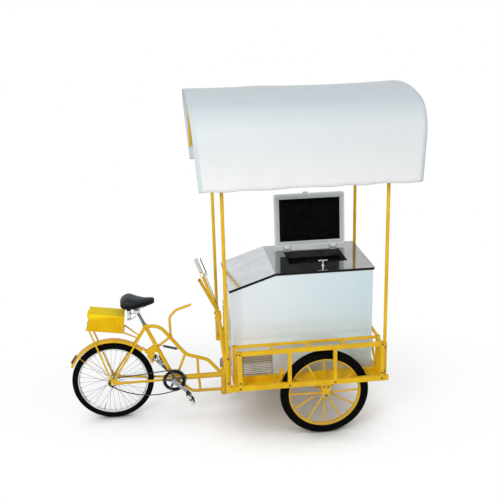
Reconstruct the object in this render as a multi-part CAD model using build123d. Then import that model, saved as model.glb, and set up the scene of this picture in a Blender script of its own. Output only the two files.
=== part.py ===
from build123d import *
import math
import os

os.makedirs("parts", exist_ok=True)

# Driving dimensions in mm: X runs forward from the rear axle, Y to the rider's left, Z up
ORIGIN_X = -1002.5
WHEELBASE = 1615
FRONT_HALF_TRACK = 505
REAR_RADIUS = 325
REAR_TYRE_WIDTH = 47
FRONT_RADIUS = 342
FRONT_TYRE_WIDTH = 58
RIM_EDGE = 286
RIM_BED = 277
RIM_BACK = 264
RIM_WALL = 3
REAR_RIM_WIDTH = 32
FRONT_RIM_WIDTH = 40
STEER_X = 885
BRACKET_X = 484
BRACKET_Z = 305
RAIL_Z = 434
TOP_Z = 1262
SLOPE_ANGLE = 18.2
CANOPY_TOP = 2600
CANOPY_CROWN_ANGLE = 17
CLOTH = 3
HOOP = 20
CHAIN_Y = -48.5
PITCH = 12.7
RING_TEETH = 46
SPROCKET_TEETH = 18
CRANK = 170
CRANK_ANGLE = -45
TUBE_CORNER = 3

# Places that follow from them: bed, racks, freezer, lid, posts and canopy
BED_REAR = STEER_X + 45
BED_FRONT = WHEELBASE + 451
RAIL_IN = FRONT_HALF_TRACK + 50
BED_HALF = FRONT_HALF_TRACK + 80
CHANNEL_IN = FRONT_HALF_TRACK - 105
CHANNEL_OUT = FRONT_HALF_TRACK - 75
RAIL_TOP = RAIL_Z + 40
RACK_TOP = RAIL_Z + 314
CABINET_REAR = BED_REAR + 2
CABINET_FRONT = BED_FRONT - 39
CABINET_HALF = FRONT_HALF_TRACK - 165
CABINET_FLOOR = RAIL_Z + 4
SLOPE_BREAK = CABINET_REAR + 343
HATCH_X0 = SLOPE_BREAK + 143
HATCH_X1 = CABINET_FRONT - 154
HATCH_Y0 = -145
HATCH_Y1 = 165
LID_X = (HATCH_X0 + HATCH_X1) / 2 + 4.5
LID_Y = (HATCH_Y0 + HATCH_Y1) / 2
LID_LENGTH = HATCH_X1 - HATCH_X0 + 120
LID_WIDTH = HATCH_Y1 - HATCH_Y0 + 117
LID_THICK = 30
LID_BOTTOM = TOP_Z + 6.3
LID_HINGE_Y = LID_Y + LID_WIDTH / 2 + 11
LID_HINGE_Z = TOP_Z + 12
LID_OPEN_ANGLE = 95
POST_Y = FRONT_HALF_TRACK - 15
POST_REAR_X = STEER_X
POST_FRONT_X = BED_FRONT + 18
CANOPY_HALF = FRONT_HALF_TRACK + 105
CANOPY_BOTTOM = CANOPY_TOP - 638
CANOPY_SPRING = CANOPY_TOP - 321
CANOPY_REAR = STEER_X - 163
CANOPY_FRONT = BED_FRONT + 234


def save(node, *pieces):
    solids = []
    for piece in pieces:
        solids.extend(piece.solids())
    placed = [Pos(ORIGIN_X, 0, 0) * solid for solid in solids]
    export_step(Compound(placed), "parts/" + node + ".step")


def block(x0, x1, y0, y1, z0, z1):
    middle = Pos((x0 + x1) / 2, (y0 + y1) / 2, (z0 + z1) / 2)
    return middle * Box(x1 - x0, y1 - y0, z1 - z0)


def box_tube(along, wall, x0, x1, y0, y1, z0, z1):
    outer = block(x0, x1, y0, y1, z0, z1)
    outer = fillet(outer.edges().filter_by(along), TUBE_CORNER)
    grow = {Axis.X: (1, 0, 0), Axis.Y: (0, 1, 0), Axis.Z: (0, 0, 1)}[along]
    trim = [-1 if step else wall for step in grow]
    inner = block(x0 + trim[0], x1 - trim[0], y0 + trim[1], y1 - trim[1], z0 + trim[2], z1 - trim[2])
    return outer - inner


def rod(start, end, diameter, bore=0):
    line = Vector(*end) - Vector(*start)
    section = Circle(diameter / 2)
    if bore:
        section = section - Circle(bore / 2)
    return extrude(Plane(origin=start, z_dir=line) * section, amount=line.length)


def bent_path(points, radii):
    corners = [Vector(*point) for point in points]
    edges = []
    start = corners[0]
    for index in range(1, len(corners) - 1):
        corner = corners[index]
        radius = radii[index - 1]
        into = (corner - corners[index - 1]).normalized()
        out = (corners[index + 1] - corner).normalized()
        half_turn = math.radians(into.get_angle(out)) / 2
        reach = radius * math.tan(half_turn)
        arc_start = corner - into * reach
        arc_end = corner + out * reach
        inward = (out - into).normalized()
        middle = corner + inward * radius * (1 / math.cos(half_turn) - 1)
        edges.append(Line(start, arc_start))
        edges.append(ThreePointArc(arc_start, middle, arc_end))
        start = arc_end
    edges.append(Line(start, corners[-1]))
    return Wire(edges)


def round_tube(points, diameter, wall=0, bend=60):
    radii = bend if isinstance(bend, list) else [bend] * (len(points) - 2)
    path = bent_path(points, radii)
    section = Circle(diameter / 2)
    if wall:
        section = section - Circle(diameter / 2 - wall)
    return sweep(Plane(origin=path @ 0, z_dir=path % 0) * section, path=path)


def plate(points, y0, y1):
    outline = make_face(Polyline(*[(x, 0, z) for x, z in points], close=True))
    return Pos(0, y0, 0) * extrude(outline, amount=y1 - y0, dir=(0, 1, 0))


def turned(points):
    return revolve(make_face(Polyline(*points, close=True)), Axis.Y)


def disc(x, z, radius, y0, y1, bore=0):
    return rod((x, y0, z), (x, y1, z), radius * 2, bore * 2)


def other_side(shape):
    return mirror(shape, about=Plane.XZ)


def pair(shape):
    return [shape, other_side(shape)]


def cut(shape, *tools):
    for tool in tools:
        shape = shape - tool
    return max(shape.solids(), key=lambda solid: solid.volume)


def hex_nut(x, z, flats, y0, y1, bore):
    section = RegularPolygon(flats / 2, 6, major_radius=False) - Circle(bore / 2)
    return extrude(Plane(origin=(x, y0, z), z_dir=(0, 1, 0)) * section, amount=y1 - y0)


def coil(frame, radius, length, turns, wire):
    points = []
    for eighth in range(8 * turns + 1):
        angle = eighth * math.pi / 4
        local = Vector(radius * math.cos(angle), radius * math.sin(angle), length * eighth / (8 * turns))
        points.append(frame.from_local_coords(local))
    path = Wire([ThreePointArc(*points[index:index + 3]) for index in range(0, 8 * turns, 2)])
    gap = min((points[far] - points[near]).length
              for near in range(len(points) - 6) for far in range(near + 6, len(points)))
    print("least gap between coils, mm:", round(gap - wire, 2))
    return sweep(Plane(origin=path @ 0, z_dir=path % 0) * Circle(wire / 2), path=path)


# Wheel parts: a U rim with a hollow bed, and a hollow tyre seated between its flanges
def rim(width):
    half = width / 2
    inside = half - RIM_WALL
    outline = [(RIM_BACK, -0.55 * half), (RIM_BACK, 0.55 * half), (RIM_BACK + 6, half), (RIM_EDGE, half),
               (RIM_EDGE, inside), (RIM_BED, inside), (RIM_BED, -inside), (RIM_EDGE, -inside),
               (RIM_EDGE, -half), (RIM_BACK + 6, -half)]
    hollow = [(RIM_BACK + 3, -0.4 * half), (RIM_BACK + 3, 0.4 * half), (RIM_BACK + 7, inside),
              (RIM_BED - 3, inside), (RIM_BED - 3, -inside), (RIM_BACK + 7, -inside)]
    return turned(outline) - turned(hollow)


def tyre(radius, width, rim_width, cavity, cavity_centre):
    bead = rim_width / 2 - RIM_WALL
    side = width / 2
    shoulder = radius - 0.3 * side
    belly = (RIM_EDGE + shoulder) / 2
    edge = 0.8 * side
    outline = make_face([
        Line((RIM_BED, -bead), (RIM_BED, bead)),
        Line((RIM_BED, bead), (RIM_EDGE, bead)),
        ThreePointArc((RIM_EDGE, bead), (belly, side - 0.6), (shoulder, edge)),
        ThreePointArc((shoulder, edge), (radius, 0), (shoulder, -edge)),
        ThreePointArc((shoulder, -edge), (belly, 0.6 - side), (RIM_EDGE, -bead)),
        Line((RIM_EDGE, -bead), (RIM_BED, -bead)),
    ])
    return revolve(outline - Pos(cavity_centre, 0) * Circle(cavity), Axis.Y)


# Rear wheel: flanged hub with a freewheel seat, thirty-six crossed spokes, rim and tyre
HUB_HALF = 54
AXLE_R = 5
hub_profile = [(AXLE_R + 0.05, -HUB_HALF), (16.5, -HUB_HALF), (16.5, -36), (14, -36), (14, -31), (24, -31),
               (24, -28), (14, -28), (14, 28), (24, 28), (24, 31), (14, 31), (14, HUB_HALF),
               (AXLE_R + 0.05, HUB_HALF)]
rear_hub = turned(hub_profile)
rear_rim = rim(REAR_RIM_WIDTH)


def polar(radius, degrees, y):
    turn = math.radians(degrees)
    return (radius * math.cos(turn), y, radius * math.sin(turn))


def rear_spoke(side, rim_angle, lead):
    hub_y = side * (31.5 if lead > 0 else 27.5)
    rim_y = side * (6 if lead > 0 else 2)
    return cut(rod(polar(20, rim_angle + 60 * lead, hub_y), polar(268, rim_angle, rim_y), 2.3), rear_hub, rear_rim)


spoke_set = [rear_spoke(-1, 0, 1), rear_spoke(-1, 20, -1), rear_spoke(1, 10, 1), rear_spoke(1, 30, -1)]
rear_spokes = [Rot(0, 40 * step, 0) * spoke for spoke in spoke_set for step in range(9)]
at_rear = Pos(0, 0, REAR_RADIUS)
save("rear_hub", at_rear * rear_hub)
save("rear_spokes", *[at_rear * spoke for spoke in rear_spokes])
save("rear_rim", at_rear * rear_rim)
save("rear_tyre", at_rear * tyre(REAR_RADIUS, REAR_TYRE_WIDTH, REAR_RIM_WIDTH, 17, 303))

# Rear axle: rod, two cone spacers and two nuts outside the stays
axle_rod = disc(0, REAR_RADIUS, AXLE_R, -85, 85)
axle_cone = disc(0, REAR_RADIUS, 9, HUB_HALF + 0.5, 62, AXLE_R)
axle_nut = hex_nut(0, REAR_RADIUS, 15, 72, 80, 2 * AXLE_R)
save("rear_axle", axle_rod, *pair(axle_cone), *pair(axle_nut))

# Front wheels: welded hub, twelve leaning tube spokes and rim, on fixed axles with nuts
FRONT_AXLE_R = 7
front_hub = turned([(FRONT_AXLE_R + 0.05, -65), (20, -65), (24, -61), (24, 51), (20, 55), (FRONT_AXLE_R + 0.05, 55)])
front_rim = rim(FRONT_RIM_WIDTH)
front_spokes = []
for step in range(2):
    lean = 1 - 2 * step
    spoke = rod(polar(18, 30 * step, 22 * lean), polar(268, 30 * step, 8 * lean), 14, 10)
    spoke = cut(spoke, front_hub + disc(0, 0, 20, -65, 55), front_rim)
    front_spokes.extend([Rot(0, 60 * turn, 0) * spoke for turn in range(6)])
front_tyre = tyre(FRONT_RADIUS, FRONT_TYRE_WIDTH, FRONT_RIM_WIDTH, 22, 312)
at_left = Pos(WHEELBASE, FRONT_HALF_TRACK, FRONT_RADIUS)
front_wheel = [at_left * piece for piece in [front_hub, front_rim] + front_spokes]
save("left_front_wheel", *front_wheel)
save("right_front_wheel", *[other_side(piece) for piece in front_wheel])
save("left_front_tyre", at_left * front_tyre)
save("right_front_tyre", other_side(at_left * front_tyre))
AXLE_OUT = FRONT_HALF_TRACK + 62
AXLE_IN = FRONT_HALF_TRACK - 86
PLATE = 8
front_axle = [
    disc(WHEELBASE, FRONT_RADIUS, FRONT_AXLE_R, AXLE_IN - 23, AXLE_OUT + 25),
    disc(WHEELBASE, FRONT_RADIUS, 12, AXLE_IN, FRONT_HALF_TRACK - 65.5, FRONT_AXLE_R),
    disc(WHEELBASE, FRONT_RADIUS, 12, FRONT_HALF_TRACK + 55.5, AXLE_OUT, FRONT_AXLE_R),
    hex_nut(WHEELBASE, FRONT_RADIUS, 22, AXLE_OUT + PLATE, AXLE_OUT + 20, 2 * FRONT_AXLE_R),
    hex_nut(WHEELBASE, FRONT_RADIUS, 22, AXLE_IN - 20, AXLE_IN - PLATE, 2 * FRONT_AXLE_R),
]
save("front_axles", *[piece for part in front_axle for piece in pair(part)])

# Bed frame: end beams below, outer rails on top, inner channels, cross members, side plates, axle plates
SHAFT_X = WHEELBASE - 353
SHAFT_Z = RAIL_Z - 21
BEAM = 30
bed = []
for x0 in (BED_REAR, BED_FRONT - BEAM):
    bed.append(box_tube(Axis.Y, 2.5, x0, x0 + BEAM, -POST_Y - 18, POST_Y + 18, RAIL_Z - 40, RAIL_Z))
outer_rail = box_tube(Axis.X, 2.5, BED_REAR - 17, BED_FRONT + 27, RAIL_IN, BED_HALF, RAIL_Z, RAIL_TOP)
channel = box_tube(Axis.X, 3, BED_REAR + BEAM, BED_FRONT - BEAM, CHANNEL_IN, CHANNEL_OUT, RAIL_Z - 34, RAIL_Z + 36)
channel = channel - disc(SHAFT_X, SHAFT_Z, 7.05, CHANNEL_IN - 10, CHANNEL_OUT + 10)
axle_hole = disc(WHEELBASE, FRONT_RADIUS, FRONT_AXLE_R, AXLE_IN - 30, AXLE_OUT + 30)


def axle_plate(top_half, top, y0):
    low = FRONT_RADIUS - 24
    half = [(top_half, top), (18, low + 6), (12, low)]
    points = [(WHEELBASE + x, z) for x, z in half] + [(WHEELBASE - x, z) for x, z in reversed(half)]
    return plate(points, y0, y0 + PLATE) - axle_hole


rear_bay_plate = block(BED_REAR + BEAM, WHEELBASE - 380, CHANNEL_OUT, RAIL_IN, RAIL_Z, RAIL_Z + 3)
front_bay_plate = block(BED_FRONT - 76, BED_FRONT - BEAM, CHANNEL_OUT, RAIL_IN, RAIL_Z, RAIL_Z + 3)
for part in (outer_rail, channel, axle_plate(42, RAIL_Z, AXLE_OUT), axle_plate(35, RAIL_Z - 34, AXLE_IN - PLATE),
             rear_bay_plate, front_bay_plate):
    bed.extend(pair(part))
for x in ((BED_REAR + SHAFT_X) / 2 + 4, WHEELBASE - 155, WHEELBASE + 165):
    bed.append(box_tube(Axis.Y, 2.5, x - 15, x + 15, -CHANNEL_IN, CHANNEL_IN, RAIL_Z - 30, RAIL_Z))
save("bed_frame", *bed)
save("bed_floor", block(BED_REAR, BED_FRONT, -CHANNEL_IN, CHANNEL_IN, RAIL_Z, CABINET_FLOOR))

# Side racks: corner and middle uprights, outer and inner top rails, slanting ladder struts
LADDER_Z0 = RACK_TOP - 36
LADDER_Z1 = RACK_TOP - 16
LADDER_Y0 = CHANNEL_IN + 5
LADDER_Y1 = CHANNEL_OUT - 5
REAR_UPRIGHT = BED_REAR + 53
FRONT_UPRIGHT = BED_FRONT - 40
rack = []
for x0 in (REAR_UPRIGHT - 32, FRONT_UPRIGHT):
    rack.append(box_tube(Axis.Z, 2, x0, x0 + 32, RAIL_IN, BED_HALF, RAIL_TOP, RACK_TOP))
for x in (WHEELBASE - 276, WHEELBASE + 68):
    rack.append(box_tube(Axis.Z, 2, x - 14, x + 14, RAIL_IN + 1, BED_HALF - 1, RAIL_TOP, RACK_TOP - 30))
rack.append(box_tube(Axis.X, 2, REAR_UPRIGHT, FRONT_UPRIGHT, RAIL_IN, BED_HALF, RACK_TOP - 30, RACK_TOP))
rack.append(box_tube(Axis.X, 2, BED_REAR + 30, BED_FRONT - 30, LADDER_Y0, LADDER_Y1, LADDER_Z0, LADDER_Z1))
for x0 in (BED_REAR, BED_FRONT - 30):
    rack.append(box_tube(Axis.Z, 2, x0, x0 + 30, CHANNEL_IN, CHANNEL_OUT, RAIL_Z, LADDER_Z1))
for x0 in (BED_REAR + 10, BED_FRONT - 30):
    rack.append(box_tube(Axis.Y, 2, x0, x0 + 20, CHANNEL_OUT, RAIL_IN, LADDER_Z0, LADDER_Z1))
for x in (BED_REAR + 295, (BED_REAR + BED_FRONT) / 2 + 2, BED_FRONT - 301):
    corners = [(x - 25, LADDER_Y1), (x - 5, LADDER_Y1), (x + 25, RAIL_IN), (x + 5, RAIL_IN)]
    strut = make_face(Polyline(*corners, close=True))
    rack.append(Pos(0, 0, LADDER_Z0 + 2) * extrude(strut, amount=16))
save("side_racks", *[piece for part in rack for piece in pair(part)])

# Front gate: top rail between the inner corner posts, uprights and crossing braces
GATE_X0 = BED_FRONT - 25
GATE_X1 = BED_FRONT - 5
GATE_Y = 133
gate = [box_tube(Axis.Y, 2, GATE_X0, GATE_X1, -CHANNEL_IN, CHANNEL_IN, LADDER_Z0, LADDER_Z1)]
for y in (-GATE_Y, GATE_Y):
    gate.append(box_tube(Axis.Z, 2, GATE_X0, GATE_X1, y - 10, y + 10, CABINET_FLOOR, LADDER_Z0))


def gate_brace(points):
    outline = make_face(Polyline(*[(0, y, z) for y, z in points], close=True))
    return Pos(GATE_X0 + 3, 0, 0) * extrude(outline, amount=14, dir=(1, 0, 0))


far = CHANNEL_IN
near = GATE_Y + 10
gate.extend(pair(gate_brace([(far, CABINET_FLOOR), (far - 28, CABINET_FLOOR), (near, LADDER_Z0 - 22),
                             (near, LADDER_Z0), (near + 8, LADDER_Z0), (far, CABINET_FLOOR + 22)])))
inner = GATE_Y - 10
gate.append(gate_brace([(-inner, CABINET_FLOOR), (22 - inner, CABINET_FLOOR), (inner, LADDER_Z0 - 20),
                        (inner, LADDER_Z0), (inner - 22, LADDER_Z0), (-inner, CABINET_FLOOR + 20)]))
save("front_gate", *gate)

# Post sockets: four closed sleeves on bracket blocks, and the four canopy posts standing in them
CROWN_SIN = math.sin(math.radians(CANOPY_CROWN_ANGLE))
CROWN_COS = math.cos(math.radians(CANOPY_CROWN_ANGLE))
RISE = CANOPY_TOP - CANOPY_SPRING
CROWN_R = (CANOPY_HALF - (1 - CROWN_SIN) * RISE / CROWN_COS) / (
    CROWN_SIN - (1 - CROWN_SIN) * (1 - CROWN_COS) / CROWN_COS)
CORNER_R = (RISE - CROWN_R * (1 - CROWN_COS)) / CROWN_COS
CORNER_Y = CANOPY_HALF - CORNER_R
PURLIN = 22
HOOP_IN = CLOTH + HOOP / 2 + 0.5
PURLIN_IN = CLOTH + PURLIN / 2
RAIL_Y = POST_Y
RAIL_TOP_Z = CANOPY_SPRING + math.sqrt((CORNER_R - PURLIN_IN) ** 2 - (RAIL_Y - CORNER_Y) ** 2)
POST = 26
SOCKET_LOW = RAIL_Z - 40
SOCKET_HIGH = RACK_TOP - 48
sockets = []
posts = []
PURLIN_REAR = CANOPY_REAR - 2
PURLIN_FRONT = CANOPY_FRONT - 30
purlin = rod((PURLIN_REAR, RAIL_Y, RAIL_TOP_Z), (PURLIN_FRONT, RAIL_Y, RAIL_TOP_Z), PURLIN)
for x, x0, x1 in ((POST_REAR_X, POST_REAR_X, BED_REAR), (POST_FRONT_X, BED_FRONT, POST_FRONT_X)):
    sleeve = rod((x, POST_Y, SOCKET_LOW), (x, POST_Y, SOCKET_HIGH), 36)
    bracket = cut(block(x0, x1, POST_Y - 18, POST_Y + 18, RAIL_Z - 40, RAIL_Z), sleeve)
    sockets.extend(pair(sleeve - rod((x, POST_Y, SOCKET_LOW + 3), (x, POST_Y, SOCKET_HIGH + 1), POST)))
    sockets.extend(pair(bracket))
    posts.extend(pair(cut(rod((x, POST_Y, SOCKET_LOW + 3), (x, POST_Y, RAIL_TOP_Z), POST, POST - 4), purlin)))
save("post_sockets", *sockets)
save("canopy_posts", *posts)


# Canopy: three hoops, upper and lower purlins, and the barrel cloth cut at a rake at both ends
def barrel(inset, x, bottom):
    crown = CROWN_R - inset
    corner = CORNER_R - inset
    crown_z = CANOPY_TOP - CROWN_R
    knee = (crown * CROWN_SIN, crown_z + crown * CROWN_COS)
    bend = math.radians((90 - CANOPY_CROWN_ANGLE) / 2)
    middle = (CORNER_Y + corner * math.cos(bend), CANOPY_SPRING + corner * math.sin(bend))
    side = CANOPY_HALF - inset
    return [
        Line((x, -side, bottom), (x, -side, CANOPY_SPRING)),
        ThreePointArc((x, -side, CANOPY_SPRING), (x, -middle[0], middle[1]), (x, -knee[0], knee[1])),
        ThreePointArc((x, -knee[0], knee[1]), (x, 0, CANOPY_TOP - inset), (x, knee[0], knee[1])),
        ThreePointArc((x, knee[0], knee[1]), (x, middle[0], middle[1]), (x, side, CANOPY_SPRING)),
        Line((x, side, CANOPY_SPRING), (x, side, bottom)),
    ]


LOWER_Z = CANOPY_BOTTOM + 128
LOWER_Y = CANOPY_HALF - PURLIN_IN
lower = rod((PURLIN_REAR, LOWER_Y, LOWER_Z), (PURLIN_FRONT, LOWER_Y, LOWER_Z), PURLIN)
hoops = []
for x in (CANOPY_REAR + 8, CANOPY_REAR + 508, CANOPY_FRONT - 40):
    path = Wire(barrel(HOOP_IN, x, LOWER_Z))
    hoop = sweep(Plane(origin=path @ 0, z_dir=path % 0) * Circle(HOOP / 2), path=path)
    hoop = hoop - purlin - other_side(purlin) - lower - other_side(lower)
    hoops.extend([solid for solid in hoop.solids() if solid.volume > 20000])
save("canopy_frame", *hoops, *pair(purlin), *pair(lower))
REAR_RAKE = 48
FRONT_RAKE = 30
roll_rear = CANOPY_REAR - REAR_RAKE - 14
roll_length = CANOPY_FRONT + FRONT_RAKE + 20 - roll_rear


def roll(inset):
    half = CANOPY_HALF - inset
    low = CANOPY_BOTTOM - 12
    foot = Line((roll_rear, half, low), (roll_rear, -half, low))
    return extrude(make_face(barrel(inset, roll_rear, low) + [foot]), amount=roll_length, dir=(1, 0, 0))


above = CANOPY_TOP + 20
rake_window = plate([(CANOPY_REAR, CANOPY_BOTTOM), (CANOPY_FRONT, CANOPY_BOTTOM),
                     (CANOPY_FRONT + FRONT_RAKE, CANOPY_TOP), (CANOPY_FRONT + FRONT_RAKE + 1, above),
                     (CANOPY_REAR - REAR_RAKE - 2, above), (CANOPY_REAR - REAR_RAKE, CANOPY_TOP)],
                    -CANOPY_HALF - 90, CANOPY_HALF + 90)
save("canopy_cover", (roll(0) - roll(CLOTH)) & rake_window)

# Steering yoke: two plates and a web hold the kingpin; a domed cap covers its top
PIN_R = 13
HEAD_LOW = 150
HEAD_HIGH = 372
YOKE_PLATE = 10
YOKE_GAP = 0.5
YOKE_TOP = HEAD_HIGH + YOKE_GAP + YOKE_PLATE
YOKE_LOW = HEAD_LOW - YOKE_GAP - YOKE_PLATE


def yoke_plate(z0):
    z1 = z0 + YOKE_PLATE
    tongue = block(STEER_X, BED_REAR, -28, 28, z0, z1)
    end = rod((STEER_X, 0, z0), (STEER_X, 0, z1), 56)
    return tongue + end - rod((STEER_X, 0, z0 - 1), (STEER_X, 0, z1 + 1), 2 * PIN_R)


save("steering_yoke", yoke_plate(HEAD_HIGH + YOKE_GAP), yoke_plate(YOKE_LOW),
     block(BED_REAR, BED_REAR + 12, -35, 35, YOKE_LOW, RAIL_Z - 40))
pin_nut = extrude(Plane(origin=(STEER_X, 0, YOKE_LOW - 13.5)) * RegularPolygon(19, 6), amount=13.5)
save("kingpin", rod((STEER_X, 0, YOKE_LOW), (STEER_X, 0, YOKE_TOP), 2 * PIN_R), pin_nut)
CAP_R = 26
cap_shoulder = YOKE_TOP + 42.5
cap_body = rod((STEER_X, 0, YOKE_TOP), (STEER_X, 0, cap_shoulder), 2 * CAP_R)
cap_dome = Pos(STEER_X, 0, cap_shoulder) * Sphere(CAP_R)
dome_half = block(STEER_X - 2 * CAP_R, STEER_X + 2 * CAP_R, -2 * CAP_R, 2 * CAP_R,
                  cap_shoulder, cap_shoulder + 2 * CAP_R)
save("kingpin_cap", cap_body + (cap_dome & dome_half))

# Steering column: two leaning square tubes on a base plate, with the two V handlebar arms inside
COLUMN_LEAN = 0.135
COLUMN_Y = 24
COLUMN_LOW = cap_shoulder + CAP_R + 5
COLUMN_HIGH = COLUMN_LOW + 382


def column_x(z):
    return BED_REAR + 4 - (z - 282) * COLUMN_LEAN


base_plate = block(BED_REAR - 8, BED_REAR, -60, 60, RAIL_Z - 40, RAIL_Z + 96)
column_low = Vector(column_x(COLUMN_LOW - 16), COLUMN_Y, COLUMN_LOW - 16)
column_high = Vector(column_x(COLUMN_HIGH), COLUMN_Y, COLUMN_HIGH)
column_plane = Plane(origin=column_low, x_dir=(0, 1, 0), z_dir=column_high - column_low)
column_section = RectangleRounded(30, 30, TUBE_CORNER) - Rectangle(25, 25)
column_tube = extrude(column_plane * column_section, amount=(column_high - column_low).length)
below = block(STEER_X - 85, STEER_X + 115, -100, 100, COLUMN_LOW - 56, COLUMN_LOW)
column_tube = cut(column_tube, base_plate, below)
COLLAR_Z = COLUMN_HIGH - 16
collar_x = column_x(COLLAR_Z)
column_solid = extrude(column_plane * RectangleRounded(30, 30, TUBE_CORNER), amount=500)
cable_hole = rod((STEER_X - 23, 43, COLLAR_Z - 30), (STEER_X - 23, 43, COLLAR_Z + 30), 13)
collar = block(collar_x - 24, collar_x + 24, -62, 62, COLLAR_Z - 14, COLLAR_Z + 14)
collar = cut(collar, column_solid, other_side(column_solid), cable_hole)
rear_sleeve = rod((POST_REAR_X, POST_Y, SOCKET_LOW), (POST_REAR_X, POST_Y, SOCKET_HIGH), 36)
column_leg = rod((collar_x, 58, COLLAR_Z), (POST_REAR_X, POST_Y, RAIL_Z + 12), 30, 26)
column_leg = cut(column_leg, block(collar_x - 24, collar_x + 24, 0, 62, COLLAR_Z - 14, COLLAR_Z + 14), rear_sleeve)
save("steering_column", base_plate, *pair(column_tube), collar, *pair(column_leg))
ARM_LOW = (column_x(COLUMN_HIGH - 43), COLUMN_Y, COLUMN_HIGH - 43)
ARM_BEND = (column_x(COLUMN_HIGH + 30), COLUMN_Y, COLUMN_HIGH + 30)
ARM_END = (STEER_X - 171, 250, COLUMN_HIGH + 379)
bar_arm = round_tube([ARM_LOW, ARM_BEND, ARM_END], 25, 2, 45)
save("handlebar", *pair(bar_arm))

# Grip, brake lever clamp and lever on the left handlebar arm, set out along the arm
arm_line = (Vector(*ARM_END) - Vector(*ARM_BEND)).normalized()
lever_side = (Vector(1, 0, 0) - arm_line * arm_line.X).normalized()


def along_arm(distance):
    return Plane(origin=Vector(*ARM_END) - arm_line * distance, x_dir=lever_side, z_dir=arm_line)


grip = extrude(along_arm(115) * Circle(16), amount=119) - extrude(along_arm(116) * Circle(12.5), amount=116)
save("left_grip", fillet(grip.edges().filter_by(GeomType.CIRCLE).sort_by(SortBy.RADIUS)[-2:], 3))
clamp_at = along_arm(142)
lug = Pos(27, 0, 0) * Box(26, 16, 22) - Pos(31, 0, 0) * Box(20, 6.6, 24)
clamp = Cylinder(17.5, 22) + lug - Cylinder(12.5, 30) + Pos(30, 0, 0) * Rot(90, 0, 0) * Cylinder(3, 16)
save("lever_clamp", clamp_at * clamp)
blade = make_face(Polyline((24, 0, -6), (24, 0, 4), (34, 0, 22), (33, 0, 120), (36, 0, 138), (42, 0, 138),
                           (40, 0, 118), (41, 0, 18), (37, 0, -6), close=True))
blade = Pos(0, -3, 0) * extrude(blade, amount=6, dir=(0, 1, 0))
save("hand_lever", clamp_at * (blade - Pos(30, 0, 0) * Rot(90, 0, 0) * Cylinder(3.05, 20)))

# Brake cable: outer casing down the column to a stop under the bed, then the bare wire to the brake arm
CABLE_Y = 41.5
WIRE_Z = SHAFT_Z - 60
cable_start = clamp_at.from_local_coords(Vector(22, 0, -11))
STOP_X = BED_REAR + 14
cable_points = [cable_start, (STEER_X - 25, 52, COLUMN_HIGH + 70), (STEER_X - 23, CABLE_Y, COLUMN_HIGH - 10),
                (STEER_X + 23, CABLE_Y, RAIL_Z + 36), (BED_REAR - 15, CABLE_Y, WIRE_Z), (STOP_X, CABLE_Y, WIRE_Z)]
casing = round_tube([tuple(point) for point in cable_points], 5, 0, [60, 40, 80, 22])
stop = block(STOP_X, STOP_X + 12, CABLE_Y - 8, CABLE_Y + 8, WIRE_Z - 10, RAIL_Z - 40)
stop = stop - rod((STOP_X - 4, CABLE_Y, WIRE_Z), (STOP_X + 16, CABLE_Y, WIRE_Z), 2)
wire = rod((STOP_X, CABLE_Y, WIRE_Z), (SHAFT_X + 14, CABLE_Y, WIRE_Z), 2)
nipple = rod((SHAFT_X + 7, CABLE_Y, WIRE_Z), (SHAFT_X + 14, CABLE_Y, WIRE_Z), 7, 2)
save("brake_cable", casing, stop, wire, nipple)


# Front brake: one cross shaft with two shoe arms, pads and the cable arm
def by_shaft(points, y0, y1):
    return plate([(SHAFT_X + x, SHAFT_Z + z) for x, z in points], y0, y1)


shaft = disc(SHAFT_X, SHAFT_Z, 7, -FRONT_HALF_TRACK + 7, FRONT_HALF_TRACK - 7)
cable_arm = by_shaft([(-8, 8), (8, 8), (8, -8), (3, -69), (-3, -69), (-8, -8)], CABLE_Y - 7.5, CABLE_Y + 7.5)
cable_arm = cut(cable_arm, shaft, rod((SHAFT_X - 22, CABLE_Y, WIRE_Z), (SHAFT_X + 28, CABLE_Y, WIRE_Z), 8))
shoe_arm = by_shaft([(-10, -9), (10, -9), (12, 27), (16, 43), (36, 143), (24, 146), (0, 49), (-10, 27)],
                    FRONT_HALF_TRACK - 21, FRONT_HALF_TRACK - 9)
shoe_arm = cut(shoe_arm, shaft)
shoe_pad = by_shaft([(15, 50), (23, 48), (44, 135), (33, 138)], FRONT_HALF_TRACK - 33, FRONT_HALF_TRACK + 3)
save("front_brake", shaft, cable_arm, *pair(shoe_arm), *pair(cut(shoe_pad, shoe_arm)))

# Freezer: outer cabinet with a sloping rear top, machine bay bulkhead, foam and inner tub
SLOPE_TAN = math.tan(math.radians(SLOPE_ANGLE))
SLOPE_COS = math.cos(math.radians(SLOPE_ANGLE))
HALF_TAN = math.tan(math.radians(SLOPE_ANGLE / 2))


def top_line(depth, rear):
    break_x = SLOPE_BREAK + depth * HALF_TAN
    rear_z = TOP_Z - depth / SLOPE_COS - (SLOPE_BREAK - rear) * SLOPE_TAN
    return (rear, rear_z), (break_x, TOP_Z - depth)


TRIM_TOP = 8
TRIM_LOW = 20
SHEET = 3
rear_corner, break_corner = top_line(TRIM_LOW, CABINET_REAR)
cabinet = plate([(CABINET_REAR, CABINET_FLOOR), (CABINET_FRONT, CABINET_FLOOR), (CABINET_FRONT, TOP_Z - TRIM_LOW),
                 break_corner, rear_corner], -CABINET_HALF, CABINET_HALF)
cabinet = fillet(cabinet.edges().filter_by(Axis.Z), 14)
inside_half = CABINET_HALF - SHEET
bay = block(CABINET_REAR + SHEET, SLOPE_BREAK, -inside_half, inside_half, CABINET_FLOOR + SHEET, TOP_Z)
BULKHEAD = SLOPE_BREAK + SHEET
cold_side = block(BULKHEAD, CABINET_FRONT - SHEET, -inside_half, inside_half, CABINET_FLOOR + SHEET, TOP_Z)
bay = fillet(bay.edges().filter_by(Axis.Z).sort_by(Axis.X)[:2], 11)
cold_side = fillet(cold_side.edges().filter_by(Axis.Z).sort_by(Axis.X)[-2:], 11)
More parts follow.
